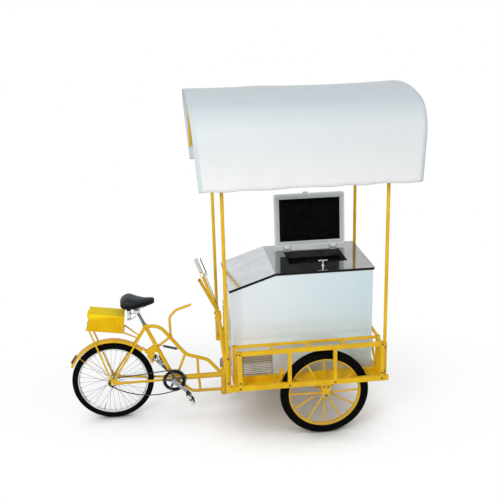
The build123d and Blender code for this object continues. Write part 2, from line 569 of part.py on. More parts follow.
VENT = (CABINET_REAR + 83, CABINET_REAR + 303, CABINET_FLOOR + 14, CABINET_FLOOR + 167)
vent_hole = block(VENT[0], VENT[1], -CABINET_HALF - 20, 10 - CABINET_HALF, VENT[2], VENT[3])
save("cabinet", cabinet - bay - cold_side - vent_hole)
FOAM = 61
TUB = (SLOPE_BREAK + FOAM, CABINET_FRONT - FOAM, FOAM - CABINET_HALF, CABINET_HALF - FOAM, CABINET_FLOOR + 80,
       TOP_Z - 55)
tub_outer = block(*TUB)
neck_outer = block(HATCH_X0 - 2, HATCH_X1 + 2, HATCH_Y0 - 2, HATCH_Y1 + 2, TUB[5] - 7, TOP_Z - TRIM_TOP)
tub_inner = block(TUB[0] + 2, TUB[1] - 2, TUB[2] + 2, TUB[3] - 2, TUB[4] + 2, TUB[5] - 2)
neck_inner = block(HATCH_X0, HATCH_X1, HATCH_Y0, HATCH_Y1, TUB[5] - 17, TOP_Z + 1)
foam = cold_side & block(CABINET_REAR, CABINET_FRONT, -CABINET_HALF, CABINET_HALF, CABINET_FLOOR, TOP_Z - TRIM_TOP)
save("insulation", foam - tub_outer - neck_outer)
save("liner", tub_outer + neck_outer - tub_inner - neck_inner)

# Tops: flat stainless top with the hatch, sloped stainless top, dark trim band under both
TOP_LIP = 8
TRIM_LIP = 4
top_half = CABINET_HALF + TOP_LIP
top_front = CABINET_FRONT + TOP_LIP
top_rear, top_break = top_line(0, CABINET_REAR - TOP_LIP)
under_rear, under_break = top_line(TRIM_TOP, CABINET_REAR - TOP_LIP)
slope_top = plate([top_rear, top_break, under_break, under_rear], -top_half, top_half)
save("slope_top", slope_top)
flat_top = plate([top_break, (top_front, TOP_Z), (top_front, TOP_Z - TRIM_TOP), under_break], -top_half, top_half)
save("flat_top", flat_top - neck_inner)
trim_rear, trim_break = top_line(TRIM_TOP, CABINET_REAR - TRIM_LIP)
low_rear, low_break = top_line(TRIM_LOW, CABINET_REAR - TRIM_LIP)
trim_front = CABINET_FRONT + TRIM_LIP
trim_half = CABINET_HALF + TRIM_LIP
band = plate([trim_rear, trim_break, (trim_front, TOP_Z - TRIM_TOP), (trim_front, TOP_Z - TRIM_LOW), low_break,
              low_rear], -trim_half, trim_half)
band_inside = block(CABINET_REAR + SHEET, CABINET_FRONT - SHEET, -inside_half, inside_half, CABINET_FLOOR, TOP_Z + 38)
band_inside = fillet(band_inside.edges().filter_by(Axis.Z), 11)
save("top_trim", band - band_inside)

# Vent grille: a pressed frame with a collar and slanting louvres in the right wall of the machine bay
GRILLE_Y = -CABINET_HALF
GRILLE_FACE = GRILLE_Y - 3
grille_frame = block(VENT[0] - 8, VENT[1] + 8, GRILLE_FACE, GRILLE_Y, VENT[2] - 8, VENT[3] + 8)
grille_collar = block(VENT[0], VENT[1], GRILLE_FACE, GRILLE_Y + 12, VENT[2], VENT[3])
grille_window = block(VENT[0] + 3, VENT[1] - 3, GRILLE_Y - 10, GRILLE_Y + 20, VENT[2] + 3, VENT[3] - 3)
grille = grille_frame + grille_collar - grille_window
LOUVRES = 10
louvre_step = (VENT[3] - VENT[2] - 6) / LOUVRES
for number in range(LOUVRES):
    z = VENT[2] + 3 + louvre_step * (number + 0.5)
    louvre = make_face(Polyline((0, GRILLE_FACE, z - 6), (0, GRILLE_FACE + 2, z - 6), (0, GRILLE_Y + 11, z + 5),
                                (0, GRILLE_Y + 9, z + 5), close=True))
    grille = grille + Pos(VENT[0] + 3, 0, 0) * extrude(louvre, amount=VENT[1] - VENT[0] - 6, dir=(1, 0, 0))
save("vent_grille", grille)

# Compressor: welded shell with domed ends on a base plate with rubber feet, terminal box and pipes
COMPRESSOR_X = CABINET_REAR + 178
FEET_LOW = CABINET_FLOOR + SHEET
BASE_LOW = FEET_LOW + 38
shell = Pos(COMPRESSOR_X, 0, BASE_LOW + 69) * Cylinder(78, 130)
shell = fillet(shell.edges().filter_by(GeomType.CIRCLE), 30)
base = block(COMPRESSOR_X - 100, COMPRESSOR_X + 100, -85, 85, BASE_LOW, BASE_LOW + 4)
feet = [rod((COMPRESSOR_X + x, y, FEET_LOW), (COMPRESSOR_X + x, y, BASE_LOW), 30)
        for x in (-82, 82) for y in (-65, 65)]
terminal = block(COMPRESSOR_X + 50, COMPRESSOR_X + 102, -28, 28, BASE_LOW + 36, BASE_LOW + 96)
terminal = cut(terminal, shell)
PIPE_Z = BASE_LOW + 201
pipes = []
for y in (-40, 40):
    pipe = round_tube([(COMPRESSOR_X, y, PIPE_Z - 90), (COMPRESSOR_X, y, PIPE_Z), (SLOPE_BREAK, y, PIPE_Z)], 9, 0, 25)
    pipes.append(cut(pipe, shell))
save("compressor", shell, base, *feet, terminal, *pipes)


# Lid: shell with a border, glossy recessed pan, gasket and pull tab, stored open about its rear hinge
def opened(shape):
    hinge = Pos(0, LID_HINGE_Y, LID_HINGE_Z)
    return hinge * (Rot(-LID_OPEN_ANGLE, 0, 0) * (hinge.inverse() * shape))


LID_X0 = LID_X - LID_LENGTH / 2
LID_X1 = LID_X + LID_LENGTH / 2
LID_Y0 = LID_Y - LID_WIDTH / 2
LID_Y1 = LID_Y + LID_WIDTH / 2
LID_BORDER = 40
lid = block(LID_X0, LID_X1, LID_Y0, LID_Y1, LID_BOTTOM, LID_BOTTOM + LID_THICK)
lid = fillet(lid.edges().filter_by(Axis.Z), 18)
lid = fillet(lid.faces().sort_by(Axis.Z)[-1].edges(), 5)
recess = block(LID_X0 + LID_BORDER, LID_X1 - LID_BORDER, LID_Y0 + LID_BORDER, LID_Y1 - LID_BORDER,
               LID_BOTTOM, LID_BOTTOM + 24)
lid = lid - recess
lid = lid + block(LID_X - 50, LID_X - 10, LID_Y0 - 14, LID_Y0 + 1, LID_BOTTOM + 6, LID_BOTTOM + 18)
HINGE_XS = (LID_X0 + 97.5, LID_X1 - 97.5)
pin_bore = rod((LID_X0 - 12, LID_HINGE_Y, LID_HINGE_Z), (LID_X1 + 12, LID_HINGE_Y, LID_HINGE_Z), 8.1)
for x in HINGE_XS:
    knuckle = rod((x - 20, LID_HINGE_Y, LID_HINGE_Z), (x + 20, LID_HINGE_Y, LID_HINGE_Z), 18)
    leaf = block(x - 20, x + 20, LID_Y1 - 1, LID_HINGE_Y, LID_HINGE_Z - 4, LID_HINGE_Z + 4)
    lid = lid + knuckle + leaf
save("lid_shell", opened(lid - pin_bore))
dish_low = Pos(LID_X, LID_Y, LID_BOTTOM) * Rectangle(LID_LENGTH - 100, LID_WIDTH - 100)
dish_high = Pos(LID_X, LID_Y, LID_BOTTOM + 18) * Rectangle(LID_LENGTH - 150, LID_WIDTH - 150)
save("lid_pan", opened(recess - loft([dish_low, dish_high])))
seal = RectangleRounded(LID_LENGTH - 30, LID_WIDTH - 30, 14) - RectangleRounded(LID_LENGTH - 75, LID_WIDTH - 75, 4)
seal = Pos(LID_X, LID_Y, LID_BOTTOM - 6) * seal
save("lid_gasket", opened(extrude(seal, amount=6)))
hinges = []
for x in HINGE_XS:
    for x0, x1 in ((x - 34, x - 20.5), (x + 20.5, x + 34)):
        cheek = rod((x0, LID_HINGE_Y, LID_HINGE_Z), (x1, LID_HINGE_Y, LID_HINGE_Z), 18)
        cheek = cheek + block(x0, x1, LID_HINGE_Y - 9, LID_HINGE_Y + 9, TOP_Z, LID_HINGE_Z)
        hinges.append(cheek - rod((x0 - 1, LID_HINGE_Y, LID_HINGE_Z), (x1 + 1, LID_HINGE_Y, LID_HINGE_Z), 8))
    hinges.append(rod((x - 37, LID_HINGE_Y, LID_HINGE_Z), (x + 37, LID_HINGE_Y, LID_HINGE_Z), 8))
save("lid_hinges", *hinges)

# Turn latch: a post on the flat top and a T bar that swings over the lid edge
LATCH_X = LID_X + 12
LATCH_Y = LID_Y0 - 20.5
latch_post = rod((LATCH_X, LATCH_Y, TOP_Z + 0.3), (LATCH_X, LATCH_Y, TOP_Z + 38), 12)
latch_foot = rod((LATCH_X, LATCH_Y, TOP_Z + 0.3), (LATCH_X, LATCH_Y, TOP_Z + 5), 26)
latch_bar = Pos(LATCH_X, LATCH_Y, TOP_Z + 42) * extrude(SlotOverall(74, 14), amount=4, both=True)
save("latch_handle", latch_post + latch_foot + latch_bar)

# Bicycle frame: bottom bracket shell, seat tube, main, lower and top tubes, struts, stays, drop-outs
SEAT_DIR = Vector(282 - BRACKET_X, 0, 772 - BRACKET_Z).normalized()
bb_point = Vector(BRACKET_X, 0, BRACKET_Z)
seat_top = Vector(282, 0, 772) + SEAT_DIR * 15
shell_solid = disc(BRACKET_X, BRACKET_Z, 22, -35, 35)
shell_tube = disc(BRACKET_X, BRACKET_Z, 22, -35, 35, 18)
cup = disc(BRACKET_X, BRACKET_Z, 18, 24, 35, 8.55)
head_solid = rod((STEER_X, 0, HEAD_LOW), (STEER_X, 0, HEAD_HIGH), 42)
head_tube = rod((STEER_X, 0, HEAD_LOW), (STEER_X, 0, HEAD_HIGH), 42, 2 * PIN_R + 0.1)
seat_solid = rod(bb_point, seat_top, 31.8)
seat_tube = cut(rod(bb_point, seat_top, 31.8, 25.5), shell_solid)
main_ends = ((BRACKET_X, 0, BRACKET_Z), (STEER_X, 0, BRACKET_Z))
main_solid = rod(*main_ends, 44)
main_tube = cut(rod(*main_ends, 44, 40), shell_solid, head_solid, seat_solid)
lower_points = [(BRACKET_X, 0, BRACKET_Z), (625, 0, 177), (STEER_X, 0, 172)]
lower_solid = round_tube(lower_points, 25, 0, 70)
lower_tube = cut(round_tube(lower_points, 25, 2, 70), shell_solid, main_solid, head_solid)
top_points = [(276, 0, 768), (390, 0, 768), (591, 0, 503), (764, 0, 444.5), (876, 0, BRACKET_Z)]
top_bends = [120, 120, 110]
top_solid = round_tube(top_points, 28, 0, top_bends)
top_tube = cut(round_tube(top_points, 28, 2, top_bends), seat_solid, main_solid, head_solid)
struts = []
for start, end in (((583, 508), (505, 315)), ((680, 468), (682, 320)), ((685, 290), (692, 176))):
    strut = rod((start[0], 0, start[1]), (end[0], 0, end[1]), 20, 16)
    struts.append(cut(strut, top_solid, main_solid, lower_solid, shell_solid))
AXLE_Z = REAR_RADIUS
dropout = plate([(-18, AXLE_Z - 14), (-18, AXLE_Z + 16), (2, AXLE_Z + 34), (26, AXLE_Z + 30), (64, AXLE_Z + 8),
                 (64, AXLE_Z - 12), (18, AXLE_Z - 18)], 62, 67)
dropout = dropout - disc(0, AXLE_Z, AXLE_R, 50, 80)
chain_stay = rod((28, 64.5, AXLE_Z - 1), (BRACKET_X - 14, 24, BRACKET_Z), 20, 16)
chain_stay = cut(chain_stay, shell_solid, dropout, seat_solid, main_solid)
stay_low = Vector(8, 64.8, 347)
stay_high = Vector(282, 21, 766)
seat_stay_solid = rod(stay_low, stay_high, 16)
seat_stay = cut(rod(stay_low, stay_high, 16, 12), seat_solid, top_solid, dropout)
GUARD_OUTER = 353.5
guard_share = 0.5
for step in range(40):
    spot = stay_low + (stay_high - stay_low) * guard_share
    guard_share = guard_share + (GUARD_OUTER + 6 - math.hypot(spot.X, spot.Z - AXLE_Z)) / 520
bridge = cut(disc(spot.X, spot.Z, 6, -spot.Y, spot.Y), seat_stay_solid, other_side(seat_stay_solid))
BRAKE_BOLT = (276, 555)
lug_plate = plate([(370, 548), (350, 610), (283, 566), (268, 564), (265, 553), (272, 544), (283, 543)], 14, 18)
lug_plate = cut(lug_plate, seat_solid) - disc(BRAKE_BOLT[0], BRAKE_BOLT[1], 4, 0, 30)
brake_bolt = disc(BRAKE_BOLT[0], BRAKE_BOLT[1], 4, -24, 24)
LEVER_PIVOT = (476, 655)
pivot_pin = cut(disc(LEVER_PIVOT[0], LEVER_PIVOT[1], 5, 0, 43), top_solid)
pivot_collar = cut(disc(LEVER_PIVOT[0], LEVER_PIVOT[1], 9, 5, 19.5, 5), top_solid)
seat_collar = rod(seat_top - SEAT_DIR * 26, seat_top, 40, 31.8) - rod((276, 0, 768), (390, 0, 768), 28.6)
seat_collar = cut(seat_collar, seat_stay_solid, other_side(seat_stay_solid))
save("rear_frame", shell_tube, *pair(cup), head_tube, seat_tube, main_tube, lower_tube, top_tube, *struts,
     *pair(dropout), *pair(chain_stay), *pair(seat_stay), bridge, *pair(lug_plate), brake_bolt, pivot_pin,
     pivot_collar, seat_collar)

# Luggage rack: tilted rails, cross bars, rear legs to the axle, front stays to the seat stays
RACK_TILT = 9
RACK_SIDE = 75
BOX_X = -162
BOX_Z = 807.9
tilt_tan = math.tan(math.radians(RACK_TILT))


def rack_z(x):
    return BOX_Z - (x - BOX_X) * tilt_tan - 6 / math.cos(math.radians(RACK_TILT))


rail_rod = rod((BOX_X - 15, RACK_SIDE, rack_z(BOX_X - 15)), (128, RACK_SIDE, rack_z(128)), 12)
leg = cut(rod((BOX_X + 12, RACK_SIDE, rack_z(BOX_X + 12)), (-13, RACK_SIDE, 366), 14), rail_rod)
eyelet = plate([(-22, 384), (-2, 386), (11, 330), (9, 317), (-9, 317), (-11, 330)], 67, 70)
eyelet = cut(eyelet, disc(0, AXLE_Z, AXLE_R, 60, 80), seat_stay_solid)
stay_spot = stay_low + (stay_high - stay_low) * 0.80
front_stay = cut(rod((122, RACK_SIDE, rack_z(122)), stay_spot, 12), rail_rod, seat_stay_solid)
bars = [cut(rod((x, -RACK_SIDE, rack_z(x)), (x, RACK_SIDE, rack_z(x)), 8), rail_rod, other_side(rail_rod))
        for x in (BOX_X - 5, -60, 35, 115)]
save("rear_rack", *pair(rail_rod), *pair(leg), *pair(eyelet - leg), *pair(front_stay), *bars)

# Tool box on the rack: a lid hinged at the rear end, and a fixed cap in front of it below the saddle
BOX_LENGTH = 275
BOX_LID_LENGTH = 230
BOX_HALF = 85
BOX_HEIGHT = 108
BOX_HINGE_X = -6.5
at_box = Pos(BOX_X, 0, BOX_Z) * Rot(0, RACK_TILT, 0)
box_body = fillet(block(0, BOX_LENGTH, -BOX_HALF, BOX_HALF, 0, BOX_HEIGHT).edges().filter_by(Axis.Z), 8)
box_body = box_body - block(2, BOX_LENGTH - 2, 2 - BOX_HALF, BOX_HALF - 2, 2, BOX_HEIGHT + 1)
box_pin = rod((BOX_HINGE_X, -52, BOX_HEIGHT), (BOX_HINGE_X, 52, BOX_HEIGHT), 4)
box_knuckle = rod((BOX_HINGE_X, 28.5, BOX_HEIGHT), (BOX_HINGE_X, 50, BOX_HEIGHT), 10, 4)
knuckle_room = rod((BOX_HINGE_X, 20, BOX_HEIGHT), (BOX_HINGE_X, 60, BOX_HEIGHT), 10)
box_bracket = cut(block(BOX_HINGE_X - 3, 0, 28.5, 50, BOX_HEIGHT - 20, BOX_HEIGHT), knuckle_room)
hasp = block(174, 198, -BOX_HALF - 5, -BOX_HALF, BOX_HEIGHT - 28, BOX_HEIGHT - 4)
box_top = block(0, BOX_LENGTH, -BOX_HALF, BOX_HALF, BOX_HEIGHT, BOX_HEIGHT + 24)
box_top = fillet(box_top.edges().filter_by(Axis.Z), 8)
box_top = fillet(box_top.faces().sort_by(Axis.Z)[-1].edges(), 4)
box_top = box_top - block(2, BOX_LENGTH - 2, 2 - BOX_HALF, BOX_HALF - 2, BOX_HEIGHT - 1, BOX_HEIGHT + 22)
box_cap = box_top - block(-10, BOX_LID_LENGTH + 1, -100, 100, BOX_HEIGHT - 10, BOX_HEIGHT + 40)
box_pieces = [box_body + box_cap, box_pin, hasp, *pair(box_knuckle), *pair(box_bracket)]
save("tool_box", *[at_box * piece for piece in box_pieces])
box_lid = box_top & block(-10, BOX_LID_LENGTH, -100, 100, BOX_HEIGHT + 0.3, BOX_HEIGHT + 40)
lid_knuckle = rod((BOX_HINGE_X, -28, BOX_HEIGHT), (BOX_HINGE_X, 28, BOX_HEIGHT), 10)
lid_leaf = block(BOX_HINGE_X, 0.5, -28, 28, BOX_HEIGHT + 0.3, BOX_HEIGHT + 5)
lid_hasp = block(176, 196, -BOX_HALF - 3, 0.5 - BOX_HALF, BOX_HEIGHT + 0.3, BOX_HEIGHT + 16)
lid_bore = rod((BOX_HINGE_X, -60, BOX_HEIGHT), (BOX_HINGE_X, 60, BOX_HEIGHT), 4.1)
box_lid = box_lid + lid_hasp + (lid_knuckle + lid_leaf - lid_bore)
save("toolbox_lid", at_box * box_lid)


# Mudguard: a curved blade round the rear tyre with ears on the brake bolt and wire stays to the axle
def guard_arc(radius, first, last, half):
    ring = disc(0, 0, radius, -half, half)
    points = [(0, 0)] + [(900 * math.cos(math.radians(a)), 900 * math.sin(math.radians(a)))
                         for a in (first, (first + last) / 2, last)]
    return ring & plate(points, -200, 200)


GUARD_INNER = 352
GUARD_FIRST = 45
GUARD_LAST = 155
guard = guard_arc(GUARD_OUTER, GUARD_FIRST, GUARD_LAST, 28) - disc(0, 0, GUARD_INNER, -26.5, 26.5)
guard = at_rear * (guard - disc(0, 0, GUARD_INNER - 16, -40, 40))
guard = cut(guard, seat_stay_solid, other_side(seat_stay_solid))
ear = plate([(284, 557), (280, 548), (270, 549), (268, 557), (246, 585), (252, 591)], 18, 20)
ear = cut(ear - disc(BRAKE_BOLT[0], BRAKE_BOLT[1], 4, 0, 30), guard)
stay_ring = disc(0, AXLE_Z, 9, 70, 72, AXLE_R)
stay_wire = cut(rod((-6, 71, 331), (-258, 27.5, 557), 4), guard, disc(0, AXLE_Z, 9, 70, 72), eyelet)
save("mudguard", guard, *pair(ear), *pair(stay_ring), *pair(stay_wire))
reflector_spot = at_rear * Rot(0, -145, 0) * Pos(GUARD_OUTER + 5, 0, 0)
reflector = cut(reflector_spot * Box(16, 36, 66), guard, at_rear * disc(0, 0, GUARD_OUTER, -30, 30))
save("tail_reflector", reflector)

# Seat post, sprung saddle frame and saddle
post_top = Vector(228, 0, 907)
post_axis_point = Vector(282, 0, 772) + SEAT_DIR * (post_top - Vector(282, 0, 772)).dot(SEAT_DIR)
post_low = seat_top - SEAT_DIR * 150
save("seat_post", rod(post_low, post_axis_point, 25.4, 21))
clamp_x = post_axis_point.X
clamp_z = post_axis_point.Z
clamp_block = block(clamp_x - 24, clamp_x + 24, -30, 30, clamp_z - 14, clamp_z + 14)
clamp_block = fillet(clamp_block.edges().filter_by(Axis.Y), 10)
clamp_block = cut(clamp_block, rod(post_low, post_axis_point, 25.4))
SPRING_X = 165
SPRING_Y = 60
SPRING_LOW = 866
SPRING_HIGH = 930
SPRING_TURNS = 4
spring = coil(Plane(origin=(SPRING_X, SPRING_Y, SPRING_LOW)), 13, SPRING_HIGH - SPRING_LOW, SPRING_TURNS, 5)
spring_foot = cut(rod((SPRING_X, SPRING_Y, SPRING_LOW - 7), (SPRING_X, SPRING_Y, SPRING_LOW + 1), 34), spring)
side_rail = round_tube([(SPRING_X, SPRING_Y, SPRING_LOW - 3), (215, 40, SPRING_LOW - 3), (clamp_x, 24, 905),
                        (330, 14, 962), (345, 14, 985)], 8, 0, [20, 25, 12])
side_rail = cut(side_rail, clamp_block, spring_foot)
SADDLE_BOTTOM = 936


def saddle_section(x, half, low, high, drop):
    return make_face([
        Line((x, -half, low), (x, half, low)),
        Line((x, half, low), (x, half, high - drop)),
        ThreePointArc((x, half, high - drop), (x, 0, high), (x, -half, high - drop)),
        Line((x, -half, high - drop), (x, -half, low)),
    ])


saddle = loft([saddle_section(100, 60, SADDLE_BOTTOM + 16, 1018, 26),
               saddle_section(125, 90, SADDLE_BOTTOM + 8, 1031, 30),
               saddle_section(155, 99, SADDLE_BOTTOM, 1034, 30), saddle_section(215, 92, SADDLE_BOTTOM, 1019, 28),
               saddle_section(295, 42, SADDLE_BOTTOM + 8, 1005, 14),
               saddle_section(367, 20, SADDLE_BOTTOM + 26, 1010, 10)])
spring_head = cut(rod((SPRING_X, SPRING_Y, SPRING_HIGH - 1), (SPRING_X, SPRING_Y, 940), 34), spring, saddle)
save("saddle", cut(saddle, *pair(side_rail)))
save("saddle_frame", clamp_block, *pair(spring), *pair(spring_foot), *pair(spring_head), *pair(side_rail))


# Drive: chain path first, so that chainring and sprocket teeth meet its rollers
def pitch_radius(teeth):
    return PITCH / (2 * math.sin(math.pi / teeth))


RING_R = pitch_radius(RING_TEETH)
SPROCKET_R = pitch_radius(SPROCKET_TEETH)
centre_line = math.atan2(AXLE_Z - BRACKET_Z, 0 - BRACKET_X)
centre_gap = math.hypot(BRACKET_X, AXLE_Z - BRACKET_Z)
lean = math.acos((RING_R - SPROCKET_R) / centre_gap)
upper_normal = centre_line - lean
lower_normal = centre_line + lean
ring_centre = (BRACKET_X, BRACKET_Z)
sprocket_centre = (0, AXLE_Z)


def on_circle(centre, radius, turn):
    return (centre[0] + radius * math.cos(turn), centre[1] + radius * math.sin(turn))


ring_step = 2 * math.pi / RING_TEETH
sprocket_step = 2 * math.pi / SPROCKET_TEETH
top_start = on_circle(ring_centre, RING_R, upper_normal)
top_end = on_circle(sprocket_centre, SPROCKET_R, upper_normal)
run_length = math.hypot(top_end[0] - top_start[0], top_end[1] - top_start[1])
run = ((top_end[0] - top_start[0]) / run_length, (top_end[1] - top_start[1]) / run_length)
rollers = [(top_start[0] + run[0] * PITCH * n, top_start[1] + run[1] * PITCH * n)
           for n in range(int(run_length / PITCH) + 1)]
last = rollers[-1]
reach = math.hypot(last[0] - sprocket_centre[0], last[1] - sprocket_centre[1])
bend = math.acos((SPROCKET_R ** 2 + reach ** 2 - PITCH ** 2) / (2 * SPROCKET_R * reach))
last_turn = math.atan2(last[1] - sprocket_centre[1], last[0] - sprocket_centre[0])
sprocket_phase = last_turn + bend
wrap_count = int((lower_normal - sprocket_phase + 2 * math.pi) % (2 * math.pi) / sprocket_step) + 1
rollers.extend([on_circle(sprocket_centre, SPROCKET_R, sprocket_phase + sprocket_step * n)
                for n in range(wrap_count)])
ring_wrap = int(((upper_normal - lower_normal) % (2 * math.pi)) / ring_step)
ring_rollers = [on_circle(ring_centre, RING_R, upper_normal - ring_step * n) for n in range(ring_wrap, 0, -1)]
low_start = rollers[-1]
low_end = ring_rollers[0]
chord = math.hypot(low_end[0] - low_start[0], low_end[1] - low_start[1])
links = int(chord / PITCH) + 2
if (len(rollers) + len(ring_rollers) + links - 1) % 2:
    links = links + 1
low_half = 0.001
high_half = 2.0
for step in range(60):
    half_arc = (low_half + high_half) / 2
    sag_radius = PITCH / (2 * math.sin(half_arc / links))
    if 2 * sag_radius * math.sin(half_arc) > chord:
        low_half = half_arc
    else:
        high_half = half_arc
chord_turn = math.atan2(low_end[1] - low_start[1], low_end[0] - low_start[0])
spot = low_start
for n in range(links - 1):
    heading = chord_turn - half_arc + half_arc * (2 * n + 1) / links
    spot = (spot[0] + PITCH * math.cos(heading), spot[1] + PITCH * math.sin(heading))
    rollers.append(spot)
rollers.extend(ring_rollers)


def offset_loop(points, distance):
    loop = []
    for index, point in enumerate(points):
        before = points[index - 1]
        after = points[(index + 1) % len(points)]
        turn = math.atan2(after[1] - before[1], after[0] - before[0]) + math.pi / 2
        loop.append((point[0] + distance * math.cos(turn), point[1] + distance * math.sin(turn)))
    return loop


LINK_HALF = 4.2
ROLLER_R = 3.9
strip = plate(offset_loop(rollers, -LINK_HALF), 0, 1.3) - plate(offset_loop(rollers, LINK_HALF), -1, 3)
outer_strip = Pos(0, CHAIN_Y - 3.1, 0) * strip
inner_strip = Pos(0, CHAIN_Y + 1.8, 0) * strip
roller_face = Plane(origin=(0, CHAIN_Y - 1.8, 0), z_dir=(0, 1, 0)) * RegularPolygon(ROLLER_R, 8)
roller = extrude(roller_face, amount=3.6)
save("chain", outer_strip, inner_strip, *[Pos(x, 0, z) * roller for x, z in rollers])


def toothed(centre, teeth, radius, phase, bore, y0, y1):
    wheel = disc(centre[0], centre[1], radius + 3.4, y0, y1, bore)
    gaps = []
    for n in range(teeth):
        turn = phase + 2 * math.pi * n / teeth
        out = (math.cos(turn), math.sin(turn))
        shape = [(-3, -5), (3, -5), (4.8, -0.6), (5.4, 4.2), (-5.4, 4.2), (-4.8, -0.6)]
        points = [(centre[0] + (radius + r) * out[0] - t * out[1], centre[1] + (radius + r) * out[1] + t * out[0])
                  for t, r in shape]
        gaps.append(plate(points, y0 - 1, y1 + 1))
    return wheel - gaps


ring_y0 = CHAIN_Y - 1.5
ring_y1 = CHAIN_Y + 1.5
ring = toothed(ring_centre, RING_TEETH, RING_R, upper_normal, 64, ring_y0, ring_y1)
save("chainring", ring)
sprocket = toothed(sprocket_centre, SPROCKET_TEETH, SPROCKET_R, sprocket_phase, 16.58, ring_y0, ring_y1)
sprocket_body = disc(0, AXLE_Z, 24, ring_y1, ring_y1 + 8, 16.58)
save("freewheel", sprocket + sprocket_body)

# Cranks: spindle, spider, two arms and the pedal axles
SPINDLE_R = 8.5
crank_turn = math.radians(CRANK_ANGLE)
crank_dir = (math.cos(crank_turn), math.sin(crank_turn))


def crank_point(reach):
    return (BRACKET_X + reach * crank_dir[0], BRACKET_Z + reach * crank_dir[1])


def crank_arm(sign, y0, y1):
    side = (-crank_dir[1], crank_dir[0])
    points = []
    for reach, width in ((-18, 12), (0, 18), (20, 17), (CRANK - 14, 11), (CRANK, 13), (CRANK + 11, 9)):
        points.append((reach, width))
    outline = points + [(reach, -width) for reach, width in reversed(points)]
    world = [(BRACKET_X + sign * (r * crank_dir[0] + w * side[0]),
              BRACKET_Z + sign * (r * crank_dir[1] + w * side[1])) for r, w in outline]
    return plate(world, y0, y1)


spindle = disc(BRACKET_X, BRACKET_Z, SPINDLE_R, -74, 74)
spider_boss = disc(BRACKET_X, BRACKET_Z, 24, -60, ring_y0 - 4, SPINDLE_R)
spider_plate = disc(BRACKET_X, BRACKET_Z, 24, ring_y0 - 4, ring_y0, SPINDLE_R)
spider_arms = []
for n in range(5):
    turn = crank_turn + 2 * math.pi * n / 5
    out = (math.cos(turn), math.sin(turn))
    points = [(BRACKET_X + r * out[0] - t * out[1], BRACKET_Z + r * out[1] + t * out[0])
              for r, t in ((20, -11), (80, -6), (82, 0), (80, 6), (20, 11))]
    spider_arms.append(plate(points, ring_y0 - 4, ring_y0))
spider = spider_boss + spider_plate + spider_arms - spindle
right_end = crank_point(CRANK)
left_end = crank_point(-CRANK)
right_axle = disc(right_end[0], right_end[1], 4.5, -182, -74)
left_axle = disc(left_end[0], left_end[1], 4.5, 74, 182)
left_collar = disc(BRACKET_X, BRACKET_Z, 14, 40, 60, SPINDLE_R)
save("crank_arms", spindle, spider, left_collar, crank_arm(1, -74, -60) - spindle, crank_arm(-1, 60, 74) - spindle,
     right_axle, left_axle)


# Pedals: sleeve, two end plates and two rubber blocks, turning on the crank's pedal axles
def pedal(tilt):
    sleeve = disc(0, 0, 10, -46, 46)
    plates = [block(-46, 46, y, y + 4, -11, 11) for y in (-46, 42)]
    treads = [block(x - 14, x + 14, -42, 42, -13, 13) for x in (-31, 31)]
    body = sleeve + plates + treads - disc(0, 0, 4.55, -60, 60)
    return Rot(0, tilt, 0) * body


save("right_pedal", Pos(right_end[0], -131, right_end[1]) * pedal(60))
save("left_pedal", Pos(left_end[0], 131, left_end[1]) * pedal(20))

# Tyre brake: hand lever on the top tube, link, and a shoe hanging from the brake bolt over the rear tyre
LEVER_Y = 30
LEVER_R = 10
LEVER_END = (327, 562)
SHOE_PIN = (330, 522)
lever_rod = round_tube([(LEVER_PIVOT[0], LEVER_Y, LEVER_PIVOT[1]), (475, LEVER_Y, 824), (529, LEVER_Y, 878),
                        (652, LEVER_Y, 917)], 2 * LEVER_R, 0, [60, 60])
lever_arm = round_tube([(LEVER_PIVOT[0], LEVER_Y, LEVER_PIVOT[1]), (385, LEVER_Y, 588),
                        (LEVER_END[0], LEVER_Y, LEVER_END[1])], 2 * LEVER_R, 0, 40)
lever_boss = disc(LEVER_PIVOT[0], LEVER_PIVOT[1], 14, LEVER_Y - 8, LEVER_Y + 8)
lever_eye = disc(LEVER_END[0], LEVER_END[1], 13, LEVER_Y - 8, LEVER_Y + 8)
lever_pin = disc(LEVER_END[0], LEVER_END[1], 4, LEVER_Y + 7, LEVER_Y + 17)
lever_bore = disc(LEVER_PIVOT[0], LEVER_PIVOT[1], 5.05, 0, 60)
save("brake_lever", lever_rod + lever_arm + lever_boss + lever_eye - lever_bore + lever_pin)
LINK_Y0 = LEVER_Y + 11
LINK_Y1 = LEVER_Y + 15
link_plate = plate([(320, 556), (334, 556), (337, 528), (323, 528)], LINK_Y0, LINK_Y1)
link_plate = link_plate + disc(LEVER_END[0], LEVER_END[1], 9, LINK_Y0, LINK_Y1)
link_plate = link_plate + disc(SHOE_PIN[0], SHOE_PIN[1], 9, LINK_Y0, LINK_Y1)
link_plate = link_plate - disc(LEVER_END[0], LEVER_END[1], 4.05, 0, 60) - disc(SHOE_PIN[0], SHOE_PIN[1], 4, 0, 60)
save("brake_link", link_plate)
shoe_plate = plate([(268, 559), (282, 563), (338, 530), (338, 514), (322, 496), (306, 490)], -13.5, 13.5)
shoe_eye = disc(BRAKE_BOLT[0], BRAKE_BOLT[1], 9, -13.5, 13.5)
pad_arc = at_rear * (guard_arc(352, 22, 34, 16) - disc(0, 0, 337, -30, 30))
shoe_pin = disc(SHOE_PIN[0], SHOE_PIN[1], 3, 10, LEVER_Y + 16)
shoe = shoe_plate + shoe_eye + pad_arc + shoe_pin - disc(BRAKE_BOLT[0], BRAKE_BOLT[1], 4.05, -60, 60)
save("brake_shoe", shoe - at_rear * disc(0, 0, 337, -30, 30))
COIL_TURNS = 15
COIL_R = 10
COIL_WIRE = 4
spring_rear = Vector(385, LEVER_Y, 586)
spring_front = Vector(544, 8, 548)
spring_line = (spring_front - spring_rear).normalized()
coil_rear = spring_rear + spring_line * 33
coil_front = spring_front - spring_line * 27
coil_length = (coil_front - coil_rear).length
